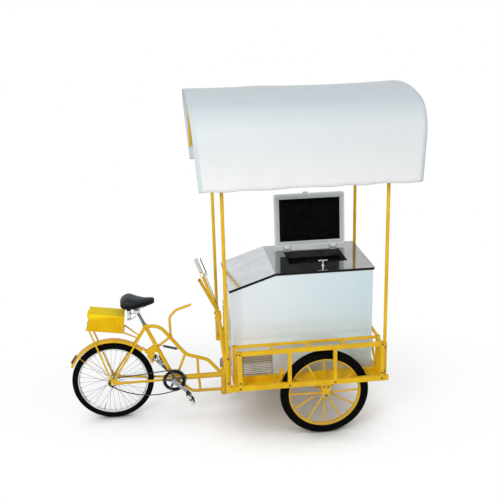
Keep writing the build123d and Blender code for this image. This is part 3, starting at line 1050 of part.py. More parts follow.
brake_coil = coil(Plane(origin=coil_rear, z_dir=spring_line), COIL_R, coil_length, COIL_TURNS, COIL_WIRE)
rear_plug = rod(spring_rear, coil_rear, 4) + rod(coil_rear - spring_line * 3, coil_rear, 22)
front_plug = rod(coil_front, spring_front, 4) + rod(coil_front, coil_front + spring_line * 3, 22)
save("brake_spring", brake_coil, cut(rear_plug, lever_arm, brake_coil), cut(front_plug, top_solid, brake_coil))
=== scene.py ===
import math

import bmesh
import bpy
from mathutils import Matrix, Vector


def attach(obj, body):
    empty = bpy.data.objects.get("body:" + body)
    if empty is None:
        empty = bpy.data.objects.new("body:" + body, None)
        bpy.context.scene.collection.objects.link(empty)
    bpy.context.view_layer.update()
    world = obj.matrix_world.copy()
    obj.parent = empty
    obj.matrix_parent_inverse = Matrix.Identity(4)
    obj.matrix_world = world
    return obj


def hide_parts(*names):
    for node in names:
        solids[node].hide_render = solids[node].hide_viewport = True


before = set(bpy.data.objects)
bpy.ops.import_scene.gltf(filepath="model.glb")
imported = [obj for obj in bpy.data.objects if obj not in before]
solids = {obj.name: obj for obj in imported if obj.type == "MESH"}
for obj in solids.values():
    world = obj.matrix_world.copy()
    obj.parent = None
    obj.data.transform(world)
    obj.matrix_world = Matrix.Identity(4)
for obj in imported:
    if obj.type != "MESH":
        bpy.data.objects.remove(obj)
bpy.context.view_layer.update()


# Bed frame, side racks, front gate, floor and post sockets
# Square and round steel tube, cut and welded by hand, then sprayed with one thick coat of yellow enamel.
# The coat is glossy, a little rippled over the welds, and dusty near the road.
ENAMEL = (0.76, 0.43, 0.003)
PALE_ENAMEL = (0.85, 0.53, 0.008)
ROAD_DUST = (0.48, 0.33, 0.10)
DUST_TOP = 0.45
DUST_FOOT = 0.02


def new_finish(name, metallic=0.0, specular=0.5):
    finish = bpy.data.materials.new(name)
    finish.use_nodes = True
    tree = finish.node_tree
    shader = tree.nodes["Principled BSDF"]
    shader.inputs["Metallic"].default_value = metallic
    shader.inputs["Specular IOR Level"].default_value = specular
    return finish, tree, shader


def feed(tree, socket, value):
    if isinstance(value, bpy.types.NodeSocket):
        tree.links.new(value, socket)
    else:
        socket.default_value = value


def add_node(tree, kind, feeds):
    node = tree.nodes.new("ShaderNode" + kind)
    for label, value in feeds.items():
        feed(tree, node.inputs[label], value)
    return node


def on_object(tree):
    return add_node(tree, "TexCoord", {}).outputs["Object"]


def surface_noise(tree, scale, detail=3.0, stretch=(1.0, 1.0, 1.0)):
    turn = add_node(tree, "Mapping", {"Vector": on_object(tree), "Scale": stretch})
    feeds = {"Vector": turn.outputs["Vector"], "Scale": scale, "Detail": detail}
    return add_node(tree, "TexNoise", feeds).outputs["Fac"]


def two_tones(tree, mask, first, second, low=0.35, high=0.65):
    ramp = add_node(tree, "ValToRGB", {"Fac": mask})
    for stop, position, tone in zip(ramp.color_ramp.elements, (low, high), (first, second)):
        stop.position = position
        stop.color = (*tone, 1.0)
    return ramp.outputs["Color"]


def fade(tree, value, low, high, first=0.0, last=1.0):
    feeds = {"Value": value, "From Min": low, "From Max": high, "To Min": first, "To Max": last}
    return add_node(tree, "MapRange", feeds).outputs["Result"]


def uneven_gloss(tree, shader, mask, low, high):
    tree.links.new(fade(tree, mask, 0.3, 0.7, low, high), shader.inputs["Roughness"])


def raised_grain(tree, shader, mask, strength, depth):
    bump = add_node(tree, "Bump", {"Height": mask, "Strength": strength, "Distance": depth})
    tree.links.new(bump.outputs["Normal"], shader.inputs["Normal"])


def along(tree, axis):
    return add_node(tree, "SeparateXYZ", {"Vector": on_object(tree)}).outputs[axis]


def height_mask(tree, low, high):
    return fade(tree, along(tree, "Z"), low, high)


def reckon(tree, operation, *terms):
    step = tree.nodes.new("ShaderNodeMath")
    step.operation = operation
    for socket, term in zip(step.inputs, terms):
        feed(tree, socket, term)
    return step.outputs["Value"]


def patches(tree, low, high, scale, detail=5.0):
    return reckon(tree, "MULTIPLY", height_mask(tree, low, high), surface_noise(tree, scale, detail))


def lay_coat(tree, shader, colour, gloss, grain=None, grain_detail=3.0):
    tree.links.new(colour, shader.inputs["Base Color"])
    gloss_scale, smooth, rough = gloss
    uneven_gloss(tree, shader, surface_noise(tree, gloss_scale), smooth, rough)
    if grain:
        grain_scale, strength, depth = grain
        raised_grain(tree, shader, surface_noise(tree, grain_scale, grain_detail), strength, depth)


def blend_colour(tree, mask, first, second):
    mix = tree.nodes.new("ShaderNodeMix")
    mix.data_type = "RGBA"
    tree.links.new(mask, mix.inputs["Factor"])
    tree.links.new(first, mix.inputs["A"])
    feed(tree, mix.inputs["B"], (*second, 1.0) if isinstance(second, tuple) else second)
    return mix.outputs["Result"]


def dress(finish, *names):
    for name in names:
        for holder in solids[name].material_slots:
            holder.material = finish


yellow_enamel, tree, shader = new_finish("yellow_enamel", specular=0.25)
coat = two_tones(tree, surface_noise(tree, 9.0), ENAMEL, PALE_ENAMEL)
dusty = blend_colour(tree, patches(tree, DUST_TOP, DUST_FOOT, 30.0), coat, ROAD_DUST)
lay_coat(tree, shader, dusty, gloss=(40.0, 0.32, 0.48), grain=(110.0, 0.10, 0.001), grain_detail=2.0)
dress(yellow_enamel, "bed_frame", "bed_floor", "side_racks", "front_gate", "post_sockets")


# Bolts of the bed, racks, gate and steering column
# Zinc plated hexagon bolts on plain washers, gone dull and brown in the weather.
# They hold the uprights, axle plates, gate and steering column, and pinch the posts in their sockets.
ZINC = (0.24, 0.19, 0.12)
BROWNED = (0.11, 0.065, 0.03)
REAR_AXLE_BACK = 1002.5
WASHER_RADIUS = 0.008
WASHER_HEIGHT = 0.0015
HEAD_CORNER = 0.00577
HEAD_TOP = 0.005
HEAD_HEIGHT = 0.005
RACK_UPRIGHTS = (967, 1339, 1683, 2042)
CORNER_HEIGHTS = (500, 733)
RAIL_HEIGHT = 454
RAIL_FACE = 585
SOCKETS = (885, 2084)
SOCKET_HEIGHTS = (672, 470)
SOCKET_FACE = 507.5
AXLE_PLATES = (1599, 1631)
AXLE_PLATE_FACE = 575
AXLE_PLATE_HEIGHT = 414
BASE_PLATE_HEIGHTS = (412, 512)
BASE_PLATE_REAR = 922
BASE_PLATE_HALF = 47
COLLAR_REAR = 837.1
COLLAR_HALF = 51
COLLAR_HEIGHT = 822
GATE_PLACES = (133, 372)
GATE_FACE = 2061
GATE_HEIGHT = 722


def mottled(name, first, second, scale, gloss, grain=None, metallic=0.0, specular=0.5):
    finish, tree, shader = new_finish(name, metallic, specular)
    lay_coat(tree, shader, two_tones(tree, surface_noise(tree, scale), first, second), gloss, grain)
    return finish


def spot(x, y, z):
    return Vector((x - REAR_AXLE_BACK, y, z)) / 1000


def put_in_scene(name, data):
    piece = bpy.data.objects.new(name, data)
    bpy.context.scene.collection.objects.link(piece)
    return piece


def fit_piece(name, shape, finish, body, sharp=30):
    mesh = bpy.data.meshes.new(name)
    shape.to_mesh(mesh)
    shape.free()
    for face in mesh.polygons:
        face.use_smooth = True
    mesh.set_sharp_from_angle(angle=math.radians(sharp))
    mesh.materials.append(finish)
    piece = put_in_scene(name, mesh)
    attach(piece, body)
    return piece


def at(place):
    return Matrix.Translation(place)


def facing(direction):
    return Vector((0, 0, 1)).rotation_difference(Vector(direction)).to_matrix().to_4x4()


def add_round(shape, place, direction, radius, height, segments=12, top=None):
    stand = at(place) @ facing(direction) @ at((0, 0, height / 2))
    end = radius if top is None else top
    bmesh.ops.create_cone(shape, cap_ends=True, segments=segments, radius1=radius, radius2=end,
                          depth=height, matrix=stand)


def add_bolt(shape, place, direction):
    head = place + Vector(direction) * WASHER_HEIGHT
    add_round(shape, place, direction, WASHER_RADIUS, WASHER_HEIGHT, segments=18)
    add_round(shape, head, direction, HEAD_CORNER, HEAD_HEIGHT, segments=6, top=HEAD_TOP)


zinc_plate = mottled("weathered_zinc_plate", BROWNED, ZINC, 160.0, gloss=(220.0, 0.45, 0.65),
                     grain=(400.0, 0.12, 0.0004), metallic=0.25)
bolts = bmesh.new()
for side in (-1, 1):
    outward = (0, side, 0)
    for x in RACK_UPRIGHTS:
        add_bolt(bolts, spot(x, side * RAIL_FACE, RAIL_HEIGHT), outward)
    for x in (RACK_UPRIGHTS[0], RACK_UPRIGHTS[-1]):
        for z in CORNER_HEIGHTS:
            add_bolt(bolts, spot(x, side * RAIL_FACE, z), outward)
    for x in SOCKETS:
        for z in SOCKET_HEIGHTS:
            add_bolt(bolts, spot(x, side * SOCKET_FACE, z), outward)
    for x in AXLE_PLATES:
        add_bolt(bolts, spot(x, side * AXLE_PLATE_FACE, AXLE_PLATE_HEIGHT), outward)
    for z in BASE_PLATE_HEIGHTS:
        add_bolt(bolts, spot(BASE_PLATE_REAR, side * BASE_PLATE_HALF, z), (-1, 0, 0))
    add_bolt(bolts, spot(COLLAR_REAR, side * COLLAR_HALF, COLLAR_HEIGHT), (-1, 0, 0))
    for y in GATE_PLACES:
        add_bolt(bolts, spot(GATE_FACE, side * y, GATE_HEIGHT), (1, 0, 0))
fit_piece("bed_bolts", bolts, zinc_plate, "cargo", sharp=25)


# Front axles with their nuts, and the kingpin
# Turned steel rod with cut threads and hexagon nuts, oiled and gone grey.
# The axles pass through the hanging plates of the bed, and the kingpin through the yoke.
grey_steel = mottled("oiled_grey_steel", (0.17, 0.17, 0.18), (0.34, 0.34, 0.35), 70.0,
                     gloss=(50.0, 0.30, 0.50), metallic=1.0)
dress(grey_steel, "kingpin", "front_axles")


# Kingpin cap
# A pressed steel dome over the top of the kingpin, sprayed brown and dulled by dust.
# It sits on the upper yoke plate, below the foot of the steering column.
cap_brown = mottled("cap_brown", (0.20, 0.15, 0.11), (0.31, 0.25, 0.19), 45.0, gloss=(80.0, 0.40, 0.62),
                    grain=(180.0, 0.15, 0.0006))
dress(cap_brown, "kingpin_cap")


# Steering yoke, column and V handlebar
# Two plates and a web hold the kingpin, and two leaning square tubes carry the arms of the handlebar.
# They are welded steel, sprayed with the bed.
dress(yellow_enamel, "steering_yoke", "steering_column", "handlebar")


# Canopy posts and hoops
# Four steel posts stand in the bed's sockets and carry three bent hoops and four purlins.
# They are sprayed with the bed.
dress(yellow_enamel, "canopy_posts", "canopy_frame")


# Canopy cloth
# One sheet of white coated cloth stretched over three hoops and four purlins, hemmed along both sides.
# It sags a little between the hoops, waves at its hems and turns in over the front end.
# Its top and both turned ends are tinted grey-blue as painted shade.
CLOTH_HALF = 0.610
CLOTH_LOW = 1.962
CLOTH_SPRING = 2.279
CLOTH_TOP = 2.600
CLOTH_WALL = 0.0022
REAR_END = 0.722
REAR_RAKE = 0.048
FRONT_END = 2.300
FRONT_RAKE = 0.030
HOOPS = (0.730, 1.230, 2.260)
SAGS = (0.005, 0.013)
SAG_HALF = 0.47
SIDE_SAG = 0.4
LOWER_PURLIN = 2.090
UPPER_PURLIN = 2.487
HEM_WAVE = 0.006
HEM_WAVES = 27.0
LEFT_SHIFT = 0.8
HEM_LIFT = 0.0035
LIFT_WAVES = 19.0
LIFT_DRIFT = 1.3
DRIFT_WAVES = 7.0
FRONT_TURN = 0.032
TURN_DEPTH = 0.012
TURN_CENTRE = 2.2
SIDE_STEPS = 16
CORNER_STEPS = 16
CROWN_STEPS = 20
LENGTH_STEPS = 96
PALE_CLOTH = (0.83, 0.83, 0.82)
WARM_CLOTH = (0.87, 0.865, 0.85)
# Painted shade: the cloth turns grey-blue towards its top.
HIGH_CLOTH_PAINTED_SHADE = (0.66, 0.71, 0.74)
HIGH_SHADE_LOW = 1.98
HIGH_SHADE_HIGH = 2.50
# Painted shade: the turned ends of the cloth are grey-blue.
HEM_PAINTED_SHADE = (0.63, 0.70, 0.74)
HEM_SHADE_START = 0.4795
HEM_SHADE_FULL = 0.4815
THREAD = (0.50, 0.53, 0.55)
STITCH_HEIGHT = 0.034
STITCH_HALF = 0.0016
STITCH_COUNT = 300
STITCH_SHARE = 0.7
CLOTH_STAIN = (0.74, 0.74, 0.72)
STAIN_TOP = 2.00
STAIN_FOOT = 1.96
crown_turn = math.radians(17)
corner_turn = math.radians(73)
rise = CLOTH_TOP - CLOTH_SPRING
sine = math.sin(crown_turn)
cosine = math.cos(crown_turn)
crown_radius = (CLOTH_HALF - (1 - sine) * rise / cosine) / (sine - (1 - sine) * (1 - cosine) / cosine)
corner_radius = (rise - crown_radius * (1 - cosine)) / cosine
corner_y = CLOTH_HALF - corner_radius
side_step = (CLOTH_SPRING - CLOTH_LOW) / SIDE_STEPS


def climb(shape, end, step, count):
    for number in range(count):
        end = bmesh.ops.extrude_vert_indiv(shape, verts=[end])["verts"][0]
        bmesh.ops.translate(shape, verts=[end], vec=step)
    return end


def bend(shape, end, centre, angle, steps):
    made = bmesh.ops.spin(shape, geom=[end], cent=centre, axis=(1, 0, 0), angle=angle, steps=steps)
    return [part for part in made["geom_last"] if isinstance(part, bmesh.types.BMVert)][0]


def face_out(shape):
    bmesh.ops.recalc_face_normals(shape, faces=shape.faces[:])


cloth = bmesh.new()
tip = cloth.verts.new((0, -CLOTH_HALF, CLOTH_LOW))
tip = climb(cloth, tip, (0, 0, side_step), SIDE_STEPS)
tip = bend(cloth, tip, (0, -corner_y, CLOTH_SPRING), -corner_turn, CORNER_STEPS)
tip = bend(cloth, tip, (0, 0, CLOTH_TOP - crown_radius), -2 * crown_turn, CROWN_STEPS)
tip = bend(cloth, tip, (0, corner_y, CLOTH_SPRING), -corner_turn, CORNER_STEPS)
climb(cloth, tip, (0, 0, -side_step), SIDE_STEPS)
bmesh.ops.spin(cloth, geom=cloth.verts[:] + cloth.edges[:], cent=(0, 0, 0), axis=(1, 0, 0),
               dvec=(1 / LENGTH_STEPS, 0, 0), angle=0.0, steps=LENGTH_STEPS)
bmesh.ops.remove_doubles(cloth, verts=cloth.verts[:], dist=0.0001)
lay = cloth.loops.layers.uv.new("cloth_lay")
for face in cloth.faces:
    for loop in face.loops:
        loop[lay].uv = (loop.vert.co.x, (loop.vert.co.z - CLOTH_LOW) / (CLOTH_TOP - CLOTH_LOW))
for vert in cloth.verts:
    share, y, z = vert.co
    up = (z - CLOTH_LOW) / (CLOTH_TOP - CLOTH_LOW)
    rear = REAR_END - REAR_RAKE * up
    front = FRONT_END + FRONT_RAKE * up
    x = rear + share * (front - rear)
    sag = 0.0
    for near, far, depth in zip(HOOPS, HOOPS[1:], SAGS):
        if near < x < far:
            part = (x - near) / (far - near)
            sag = depth * 4 * part * (1 - part)
    if z > UPPER_PURLIN:
        z = z - sag * max(0.0, 1 - (y / SAG_HALF) ** 2)
    elif z > LOWER_PURLIN:
        between = (z - LOWER_PURLIN) / (UPPER_PURLIN - LOWER_PURLIN)
        y = y * (1 - SIDE_SAG * sag * math.sin(math.pi * between))
    else:
        loose = (LOWER_PURLIN - z) / (LOWER_PURLIN - CLOTH_LOW)
        shift = LEFT_SHIFT if y > 0 else 0.0
        drift = LIFT_DRIFT * math.sin(x * DRIFT_WAVES)
        y = y * (1 + loose * HEM_WAVE * math.sin(x * HEM_WAVES + shift))
        z = z + loose ** 2 * HEM_LIFT * (1 + math.sin(x * LIFT_WAVES + drift))
    turned_in = max(0.0, (x - (front - FRONT_TURN)) / FRONT_TURN)
    inward = Vector((0, -y, TURN_CENTRE - z)).normalized() * TURN_DEPTH * turned_in ** 2
    vert.co = Vector((x - REAR_AXLE_BACK / 1000, y, z)) + inward
face_out(cloth)
white_cloth, tree, shader = new_finish("white_coated_cloth")
low_tone = two_tones(tree, surface_noise(tree, 3.0, 5.0), PALE_CLOTH, WARM_CLOTH)
# Painted shade: grey-blue blended in with height.
high_shaded_cloth = blend_colour(tree, height_mask(tree, HIGH_SHADE_LOW, HIGH_SHADE_HIGH), low_tone, HIGH_CLOTH_PAINTED_SHADE)
place = add_node(tree, "UVMap", {})
split = add_node(tree, "SeparateXYZ", {"Vector": place.outputs["UV"]})
lengthwise = split.outputs["X"]
off_middle = reckon(tree, "ABSOLUTE", reckon(tree, "SUBTRACT", lengthwise, 0.5))
# Painted shade on the bands at both ends of the cloth.
hem_shaded = blend_colour(tree, fade(tree, off_middle, HEM_SHADE_START, HEM_SHADE_FULL), high_shaded_cloth, HEM_PAINTED_SHADE)
seam = reckon(tree, "COMPARE", split.outputs["Y"], STITCH_HEIGHT, STITCH_HALF)
dash = reckon(tree, "FRACT", reckon(tree, "MULTIPLY", lengthwise, STITCH_COUNT))
stitched = reckon(tree, "MULTIPLY", seam, reckon(tree, "LESS_THAN", dash, STITCH_SHARE))
sewn = blend_colour(tree, stitched, hem_shaded, THREAD)
stained = blend_colour(tree, patches(tree, STAIN_TOP, STAIN_FOOT, 14.0), sewn, CLOTH_STAIN)
lay_coat(tree, shader, stained, gloss=(12.0, 0.42, 0.58))
shader.inputs["Sheen Weight"].default_value = 0.1


def weave(finish, threads, strength, depth):
    tree = finish.node_tree
    heights = []
    for direction in ("X", "Y", "Z"):
        feeds = {"Vector": on_object(tree), "Scale": threads, "Distortion": 0.6}
        thread = add_node(tree, "TexWave", feeds)
        thread.bands_direction = direction
        heights.append(thread.outputs["Fac"])
    crossed = reckon(tree, "MULTIPLY", reckon(tree, "MULTIPLY", heights[0], heights[1]), heights[2])
    raised_grain(tree, tree.nodes["Principled BSDF"], crossed, strength, depth)


weave(white_cloth, threads=160.0, strength=0.08, depth=0.0006)
canopy = fit_piece("canopy_cloth", cloth, white_cloth, "cargo", sharp=60)
wall = canopy.modifiers.new("cloth_thickness", "SOLIDIFY")
wall.thickness = CLOTH_WALL
wall.offset = -1.0
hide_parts("canopy_cover")


# Freezer cabinet
# A folded steel box in white baked enamel that stands on the floor of the bed, between the racks.
# Its foot is grimed by the road.
# Its sides turn pale blue towards the front as painted shade and reflection, and the front wall stays plain
# white.
WARM_WHITE = (0.77, 0.83, 0.87)
CLEAN_WHITE = (0.82, 0.86, 0.89)
PAINTED_REFLECTION_WHITE = (0.625, 0.77, 0.82)
REFLECTION_START = 0.05
REFLECTION_FULL = 1.00
FRONT_WALL = 1.010
FRONT_FACE = 1.023
GRIME = (0.58, 0.60, 0.58)
GRIME_TOP = 0.52
GRIME_FOOT = 0.43
white_enamel, tree, shader = new_finish("white_baked_enamel")
baked = two_tones(tree, surface_noise(tree, 2.2), WARM_WHITE, CLEAN_WHITE)
# Painted shade and reflection: pale blue growing towards the front.
reflection_tinted = blend_colour(tree, fade(tree, along(tree, "X"), REFLECTION_START, REFLECTION_FULL), baked, PAINTED_REFLECTION_WHITE)
front_without_reflection = blend_colour(tree, fade(tree, along(tree, "X"), FRONT_WALL, FRONT_FACE), reflection_tinted, baked)
grimy = blend_colour(tree, patches(tree, GRIME_TOP, GRIME_FOOT, 18.0), front_without_reflection, GRIME)
lay_coat(tree, shader, grimy, gloss=(8.0, 0.16, 0.26), grain=(240.0, 0.03, 0.0005))
shader.inputs["Coat Weight"].default_value = 0.3
shader.inputs["Coat Roughness"].default_value = 0.08
dress(white_enamel, "cabinet")


# Louvre grille
# A cream moulded frame with slanting louvres, let into the right wall of the cabinet.
# Four small zinc plated screws hold it, and painted shade darkens the gaps between the louvres.
CREAM = (0.78, 0.75, 0.66)
PALE_CREAM = (0.86, 0.84, 0.77)
TAN = (0.56, 0.48, 0.33)
TAN_START = 0.535
TAN_FULL = 0.550
LOUVRE_GAP_SHADE = (0.060, 0.048, 0.030)
LOUVRE_FOOT = 0.455
LOUVRE_STEP = 0.0147
SCREW_COLUMNS = (1010, 1240)
SCREW_HEIGHTS = (447, 610)
GRILLE_FACE = -343
cream_plastic, tree, shader = new_finish("cream_plastic")
cream = two_tones(tree, surface_noise(tree, 26.0), CREAM, PALE_CREAM)
tanned = blend_colour(tree, height_mask(tree, TAN_START, TAN_FULL), cream, TAN)
# Painted shade: a dark band in each louvre step.
rows = reckon(tree, "MULTIPLY_ADD", along(tree, "Z"), 1 / LOUVRE_STEP, -LOUVRE_FOOT / LOUVRE_STEP)
gaps = two_tones(tree, reckon(tree, "FRACT", rows), (0.0, 0.0, 0.0), (1.0, 1.0, 1.0), low=0.42,
                 high=0.72)
gap_shaded = blend_colour(tree, gaps, tanned, LOUVRE_GAP_SHADE)
lay_coat(tree, shader, gap_shaded, gloss=(90.0, 0.38, 0.52), grain=(500.0, 0.08, 0.0003))
dress(cream_plastic, "vent_grille")
screws = bmesh.new()
for x in SCREW_COLUMNS:
    for z in SCREW_HEIGHTS:
        add_round(screws, spot(x, GRILLE_FACE, z), (0, -1, 0), radius=0.0042, height=0.0018, segments=16,
                  top=0.0026)
fit_piece("grille_screws", screws, zinc_plate, "cargo", sharp=25)


# Compressor and foam
# The compressor is a welded shell in black paint on rubber feet, behind the grille.
# Pale foam is poured between the cabinet and the tub.
black_steel = mottled("black_painted_steel", (0.006, 0.006, 0.007), (0.016, 0.016, 0.017), 60.0,
                      gloss=(90.0, 0.28, 0.45), grain=(300.0, 0.08, 0.0004), specular=0.07)
dress(black_steel, "compressor")
pale_foam, tree, shader = new_finish("pale_foam")
foamed = two_tones(tree, surface_noise(tree, 120.0, 5.0), (0.70, 0.62, 0.40), (0.84, 0.78, 0.58))
tree.links.new(foamed, shader.inputs["Base Color"])
shader.inputs["Roughness"].default_value = 0.9
raised_grain(tree, shader, surface_noise(tree, 350.0, 5.0), 0.5, 0.001)
dress(pale_foam, "insulation")


# Stainless tops and dark edge band
# Two thin polished stainless sheets cap the cabinet, a bright one sloping to the rear and a flat one made
# darker as a painted dark reflection.
# A dark band seals them to the cabinet and a thin black strip guards their cut edges.
STRIP_WALL = 0.0010
STRIP_DEPTH = 0.0084
FLAT_STRIP = 0.7608
SLOPE_STRIP = 0.3700
END_STRIP = 0.6970
STRIP_SIDE = 348.3
FLAT_MIDDLE = 1654.6
FLAT_FRONT = 2035.3
FLAT_HEIGHT = 1258
SLOPE_MIDDLE = 1099.8
SLOPE_MIDDLE_HEIGHT = 1200.2
SLOPE_REAR = 923.7
SLOPE_REAR_HEIGHT = 1142.4
SLOPE_TURN = math.radians(18.2)


def polished(name, first, second, gloss, metallic):
    finish, tree, shader = new_finish(name, metallic)
    tones = two_tones(tree, surface_noise(tree, 5.0, 4.0), first, second)
    tree.links.new(tones, shader.inputs["Base Color"])
    uneven_gloss(tree, shader, surface_noise(tree, 6.0, 4.0, (1.0, 20.0, 20.0)), *gloss)
    raised_grain(tree, shader, surface_noise(tree, 30.0, 4.0, (1.0, 40.0, 40.0)), 0.02, 0.0004)
    return finish


def add_block(shape, stand, size):
    return bmesh.ops.create_cube(shape, size=1.0, matrix=stand @ Matrix.Diagonal((*size, 1.0)))["verts"]


stainless = polished("polished_stainless", (0.54, 0.562, 0.581), (0.62, 0.653, 0.683),
                     gloss=(0.08, 0.17), metallic=1.0)
dress(stainless, "slope_top")
# Painted reflection: the flat sheet is darkened to stand for a dark reflection.
dark_reflection_stainless = polished("stainless_painted_dark_reflection", (0.30, 0.305, 0.305), (0.38, 0.395, 0.40),
                  gloss=(0.05, 0.12), metallic=0.88)
dress(dark_reflection_stainless, "flat_top")
dark_band = mottled("dark_edge_band", (0.006, 0.006, 0.006), (0.014, 0.013, 0.012), 80.0,
                    gloss=(120.0, 0.35, 0.5), specular=0.1)
dress(dark_band, "top_trim")
edging = bmesh.new()
for side in (-1, 1):
    flat_stand = at(spot(FLAT_MIDDLE, side * STRIP_SIDE, FLAT_HEIGHT))
    slope_middle = at(spot(SLOPE_MIDDLE, side * STRIP_SIDE, SLOPE_MIDDLE_HEIGHT))
    slope_stand = slope_middle @ Matrix.Rotation(-SLOPE_TURN, 4, "Y")
    add_block(edging, flat_stand, (FLAT_STRIP, STRIP_WALL, STRIP_DEPTH))
    add_block(edging, slope_stand, (SLOPE_STRIP, STRIP_WALL, STRIP_DEPTH))
for end in (spot(FLAT_FRONT, 0, FLAT_HEIGHT), spot(SLOPE_REAR, 0, SLOPE_REAR_HEIGHT)):
    add_block(edging, at(end), (STRIP_WALL, END_STRIP, STRIP_DEPTH))
fit_piece("top_edging", edging, dark_band, "cargo")


# Inner tub
# One moulded plastic tub under the hatch, dark all over as painted shade, with frost clouding its lower
# walls.
# The foam behind it is hidden by the tub and the cabinet.
FROST = (0.55, 0.60, 0.63)
FROST_TOP = 1.10
FROST_FOOT = 0.52
# Painted shade: the tub's walls are nearly black.
tub_painted_shade, tree, shader = new_finish("tub_plastic_painted_shade")
tub_shade_tones = two_tones(tree, surface_noise(tree, 20.0), (0.020, 0.021, 0.022), (0.045, 0.047, 0.05))
frosted = blend_colour(tree, patches(tree, FROST_TOP, FROST_FOOT, 35.0, 6.0), tub_shade_tones, FROST)
lay_coat(tree, shader, frosted, gloss=(30.0, 0.25, 0.45))
dress(tub_painted_shade, "liner")


# Raised lid with its hinges and latch
# A white moulded shell with a rounded border, a glossy black pan on its underside and a pale rubber seal.
# It turns on two pin hinges of bright steel on the flat top, and a bright turn latch stands beside it.
lid_white = mottled("lid_white_plastic", (0.79, 0.82, 0.84), (0.83, 0.855, 0.875), 16.0,
                    gloss=(50.0, 0.26, 0.38), grain=(420.0, 0.05, 0.0003))
dress(lid_white, "lid_shell")
gloss_black = mottled("gloss_black_pan", (0.002, 0.002, 0.002), (0.005, 0.005, 0.005), 24.0,
                      gloss=(30.0, 0.10, 0.20), specular=0.02)
dress(gloss_black, "lid_pan")
pale_seal = mottled("pale_grey_seal", (0.56, 0.59, 0.60), (0.66, 0.69, 0.70), 60.0,
                    gloss=(130.0, 0.50, 0.65), grain=(500.0, 0.10, 0.0004))
dress(pale_seal, "lid_gasket")
bright_steel = mottled("bright_steel", (0.58, 0.59, 0.60), (0.74, 0.75, 0.76), 90.0,
                       gloss=(60.0, 0.14, 0.30), grain=(260.0, 0.05, 0.0005), metallic=1.0)
dress(bright_steel, "lid_hinges", "latch_handle")


# Ribbed grip on the left handlebar arm
# A pale moulded plastic sleeve with rings along it and a closed end, pushed over the tube.
# The right arm has no sleeve.
ARM_END = spot(714, 250, 1217)
ARM_BEND = spot(854.89, 24, 868)
GRIP_BACK = 0.115
GRIP_END = 0.119
BORE_END = 0.1155
GRIP_BORE = 0.0128
GRIP_NECK = 0.0148
RING_CREST = 0.0156
GRIP_COLLAR = 0.0160
RING_COUNT = 12
RING_FOOT = 0.010
RING_STEP = 0.0080
arm_line = (ARM_END - ARM_BEND).normalized()


def lathe(shape, profile, place, direction, segments):
    stand = at(place) @ facing(direction)
    points = [shape.verts.new(stand @ Vector((radius, 0, height))) for radius, height in profile]
    edges = [shape.edges.new(points[number:number + 2]) for number in range(len(points) - 1)]
    bmesh.ops.spin(shape, geom=points + edges, cent=place, axis=Vector(direction), angle=2 * math.pi,
                   steps=segments, use_merge=True)


def close_seams(shape, gap):
    bmesh.ops.remove_doubles(shape, verts=shape.verts[:], dist=gap)
    face_out(shape)


grip_white = mottled("grip_pale_plastic", (0.60, 0.58, 0.53), (0.76, 0.75, 0.71), 40.0,
                     gloss=(90.0, 0.40, 0.55), grain=(500.0, 0.10, 0.0004))
grip_profile = [(0.0, BORE_END), (GRIP_BORE, BORE_END), (GRIP_BORE, 0.0), (0.0150, 0.0)]
grip_profile.extend([(GRIP_COLLAR, 0.002), (GRIP_COLLAR, 0.006), (GRIP_NECK, 0.008)])
for ring in range(RING_COUNT):
    foot = RING_FOOT + ring * RING_STEP
    grip_profile.extend([(GRIP_NECK, foot), (RING_CREST, foot + 0.0015)])
    grip_profile.extend([(RING_CREST, foot + 0.0045), (GRIP_NECK, foot + 0.006)])
grip_profile.extend([(GRIP_NECK, 0.108), (GRIP_COLLAR, 0.110), (GRIP_COLLAR, 0.116)])
grip_profile.extend([(0.0140, GRIP_END), (0.0, GRIP_END)])
grip = bmesh.new()
lathe(grip, grip_profile, ARM_END - arm_line * GRIP_BACK, arm_line, segments=40)
close_seams(grip, 0.00005)
grip_piece = fit_piece("ribbed_grip", grip, grip_white, "cargo", sharp=40)
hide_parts("left_grip")


# Brake hand lever and its clamp
# A pressed steel lever in black paint, on a bright steel clamp round the left handlebar arm.
# The clamp is tightened below the grip.
dress(bright_steel, "lever_clamp")
dress(black_steel, "hand_lever")


# Brake cable
# A steel wire in a black casing from the hand lever down the column to a stop under the bed.
# Beyond the stop the bare wire pulls the arm of the front brake.
CASING = 0.005
LEVER_BACK = 0.142
LEVER_REACH = 0.022
CASING_BACK = 0.011
CABLE_Y = 41.5
WIRE_Z = 353
STOP_PLATE = (0.012, 0.016, 0.051)
WIRE_RADIUS = 0.001
WIRE_LENGTH = 0.320
FORWARD = (1, 0, 0)


def cord_curve(name, points, radius, finish):
    line = bpy.data.curves.new(name, "CURVE")
    line.dimensions = "3D"
    line.bevel_depth = radius
    line.bevel_resolution = 4
    line.use_fill_caps = True
    run = line.splines.new("NURBS")
    run.points.add(len(points) - 1)
    for number, point in enumerate(points):
        run.points[number].co = (*point, 1.0)
    run.order_u = 3
    run.use_endpoint_u = True
    run.resolution_u = 12
    line.materials.append(finish)
    return put_in_scene(name, line)


def soften(shape, verts, offset, segments=2):
    edges = list({edge for vert in verts for edge in vert.link_edges})
    bmesh.ops.bevel(shape, geom=edges, offset=offset, segments=segments, profile=0.5,
                    affect="EDGES", material=-1)


